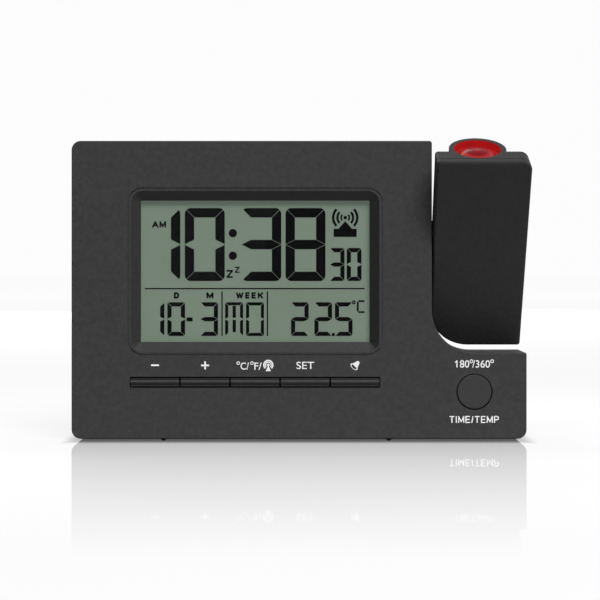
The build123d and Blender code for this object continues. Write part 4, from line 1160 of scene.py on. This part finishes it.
# %% Rod, coil, buzzer and strips
rod = Finish("sintered_rod", shine=0.6)
x, y, z = rod.xyz()
drawn_out = rod.node("CombineXYZ", {}, {0: 0.06 * x, 1: y, 2: z})
lines = rod.noise(0.25, detail=3.0, at=drawn_out)
rod.drive(Base_Color=rod.blend(lines, (0.025, 0.025, 0.027), (0.075, 0.075, 0.080)),
          Roughness=0.4 + 0.2 * lines)
rod.bump(lines, 0.02)
give(rod, "ferrite_rod")

WIRE_PITCH = 0.42
winding = Finish("enamelled_winding", metallic=0.7)
turns = (winding.xyz()[0] * (2 * math.pi / WIRE_PITCH)).maths("SINE") * 0.5 + 0.5
dust = winding.noise(1.5)
crest = winding.blend(dust, (0.50, 0.19, 0.06), (0.66, 0.28, 0.10))
# The colour is painted darker between the turns, as shade in the grooves.
winding.drive(Base_Color=winding.blend(turns, (0.16, 0.045, 0.015), crest),
              Roughness=0.25 + 0.15 * dust)
winding.bump(turns, 0.12)
give(winding, "aerial_coil")

BUZZER_X, BUZZER_Z, CERAMIC_R, SILVER_R = -59.95, 41.5, 6.0, 5.2
disc = Finish("buzzer_rings")
x, _, z = disc.xyz()
radius = distance(x - BUZZER_X, z - BUZZER_Z)
in_ceramic, in_silver = radius < CERAMIC_R, radius < SILVER_R
tarnish = disc.noise(2.0, detail=4.0)
brass = disc.blend(tarnish, (0.42, 0.27, 0.08), (0.72, 0.53, 0.22))
silver = disc.blend(tarnish, (0.55, 0.55, 0.54), (0.78, 0.78, 0.76))
spot = disc.blend(in_silver, (0.70, 0.66, 0.55), silver)
disc.drive(Base_Color=disc.blend(in_ceramic, brass, spot),
           Metallic=1 - in_ceramic * (radius > SILVER_R), Roughness=0.25 + 0.2 * tarnish)
disc.bump(in_ceramic + in_silver, 0.06)
give(disc, "buzzer")

SLICE = 0.2
strip = Finish("striped_silicone", shine=0.3)
slices = (strip.xyz()[0] * (math.pi / SLICE)).maths("SINE") > 0.0
sheen = strip.noise(1.5)
silicone = strip.blend(sheen, (0.50, 0.22, 0.25), (0.70, 0.38, 0.40))
strip.drive(Base_Color=strip.blend(slices, silicone, grey(0.02)), Roughness=0.45 + 0.2 * sheen)
give(strip, "zebra_strips")
print("wire every", WIRE_PITCH, "mm, slices", SLICE, "mm")

# %% [markdown]
# ## Light guide, frame and the plain mouldings
#
# The guide behind the display is clear acrylic with printed dots that grow away from the
# lamp, so the light comes out evenly. The frame round it is white. The washer and the hollow
# axle are bare nylon, a little yellow, and the feet are soft black rubber with a dusty bloom.

# %% Guide, frame, nylon, feet
DOT_PITCH, GUIDE_NEAR_X, GUIDE_LENGTH = 1.6, -53.3, 78.0
guide = Finish("dotted_guide", shine=0.6)
x, _, z = guide.xyz()
from_dot = distance(*((along / DOT_PITCH).maths("FRACT") - 0.5 for along in (x, z)))
printed = from_dot < 0.1 + 0.3 * (x - GUIDE_NEAR_X) / GUIDE_LENGTH
acrylic = guide.blend(guide.noise(8.0), (0.66, 0.72, 0.68), (0.74, 0.80, 0.76))
guide.drive(Base_Color=guide.blend(printed, acrylic, (0.88, 0.89, 0.87)),
            Roughness=0.08 + 0.5 * printed)
give(guide, "backlight_guide")


def pale_plastic(name, dark, light, rough):
    """Undyed or white plastic: clouds of flow marks and a fine grain."""
    finish = Finish(name, shine=0.4)
    flow = finish.noise(5.0, detail=3.0)
    fine = finish.noise(0.25)
    finish.drive(Base_Color=finish.blend(0.7 * flow + 0.3 * fine, dark, light),
                 Roughness=rough + 0.1 * fine)
    finish.bump(fine, 0.01)
    return finish


give(pale_plastic("white_moulding", (0.70, 0.70, 0.68), (0.84, 0.84, 0.82), 0.4), "lcd_frame")
give(pale_plastic("bare_nylon", (0.50, 0.47, 0.40), (0.68, 0.66, 0.58), 0.38), "friction_washer",
     "pivot_axle")
give(speckled("foot_rubber", grey(0.014), (0.040, 0.040, 0.039), (1.1, 4.0, 0.7), 0.75, 0.2,
              depth=0.04, shine=0.2), "rear_feet")
give(moulded("socket_plastic", (0.018, 0.018, 0.019), 0.3, 0.01, 0.4, shine=0.3), "dc_jack",
     "lamp_holder", "slide_retainer")
print("guide dots every", DOT_PITCH, "mm")

# %% [markdown]
# ## Inside the projector
#
# The lamp is a red-tinted epoxy dome with its small bright chip near the foot. Over it sit
# the collecting lens and the slide, a tiny display that lets the light of the figures
# through and holds back the rest. The slide's finish is dark with a faint lit field.

# %% Lamp, collecting lens and slide
LAMP_R, SLIDE_HALF_X, SLIDE_HALF_Y = 2.6, 3.4, 1.3
lamp = Finish("red_lamp_epoxy", colour=(0.50, 0.02, 0.02), glow=1.0)
chip_glow = lamp.node("MapRange", {}, {0: from_tube(lamp), 1: 0.0, 2: LAMP_R, 3: 1.0, 4: 0.0})
lamp.drive(Emission_Color=lamp.blend(chip_glow, (0.05, 0.0, 0.0), (0.9, 0.12, 0.08)),
           Roughness=0.06 + 0.08 * lamp.noise(1.0))
give(lamp, "projection_led")

# The collecting lens's red emission is painted light from the lamp below it.
optic = Finish("collecting_lens", rough=0.05, shine=0.6, glow=1.0)
swirl = optic.noise(2.0)
optic.drive(Base_Color=optic.blend(swirl, (0.45, 0.06, 0.06), (0.62, 0.14, 0.14)),
            Emission_Color=optic.blend(swirl, (0.10, 0.002, 0.002), (0.18, 0.006, 0.006)))
give(optic, "condenser_lens")

slide = Finish("slide_glass", rough=0.08, glow=1.0)
x, y, _ = upright(slide)
field = (abs(x - TUBE_X) < SLIDE_HALF_X) * (abs(y - TUBE_Y) < SLIDE_HALF_Y)
dark_field = slide.noise(0.8, detail=3.0)
slide.drive(Base_Color=slide.blend(dark_field, (0.006, 0.006, 0.007), (0.016, 0.014, 0.015)),
            Emission_Color=slide.blend(field * dark_field, grey(0.0), (0.5, 0.03, 0.02)))
give(slide, "projection_lcd")
print("parts without a finish:", sorted(set(frame["nodes"]) - finished))
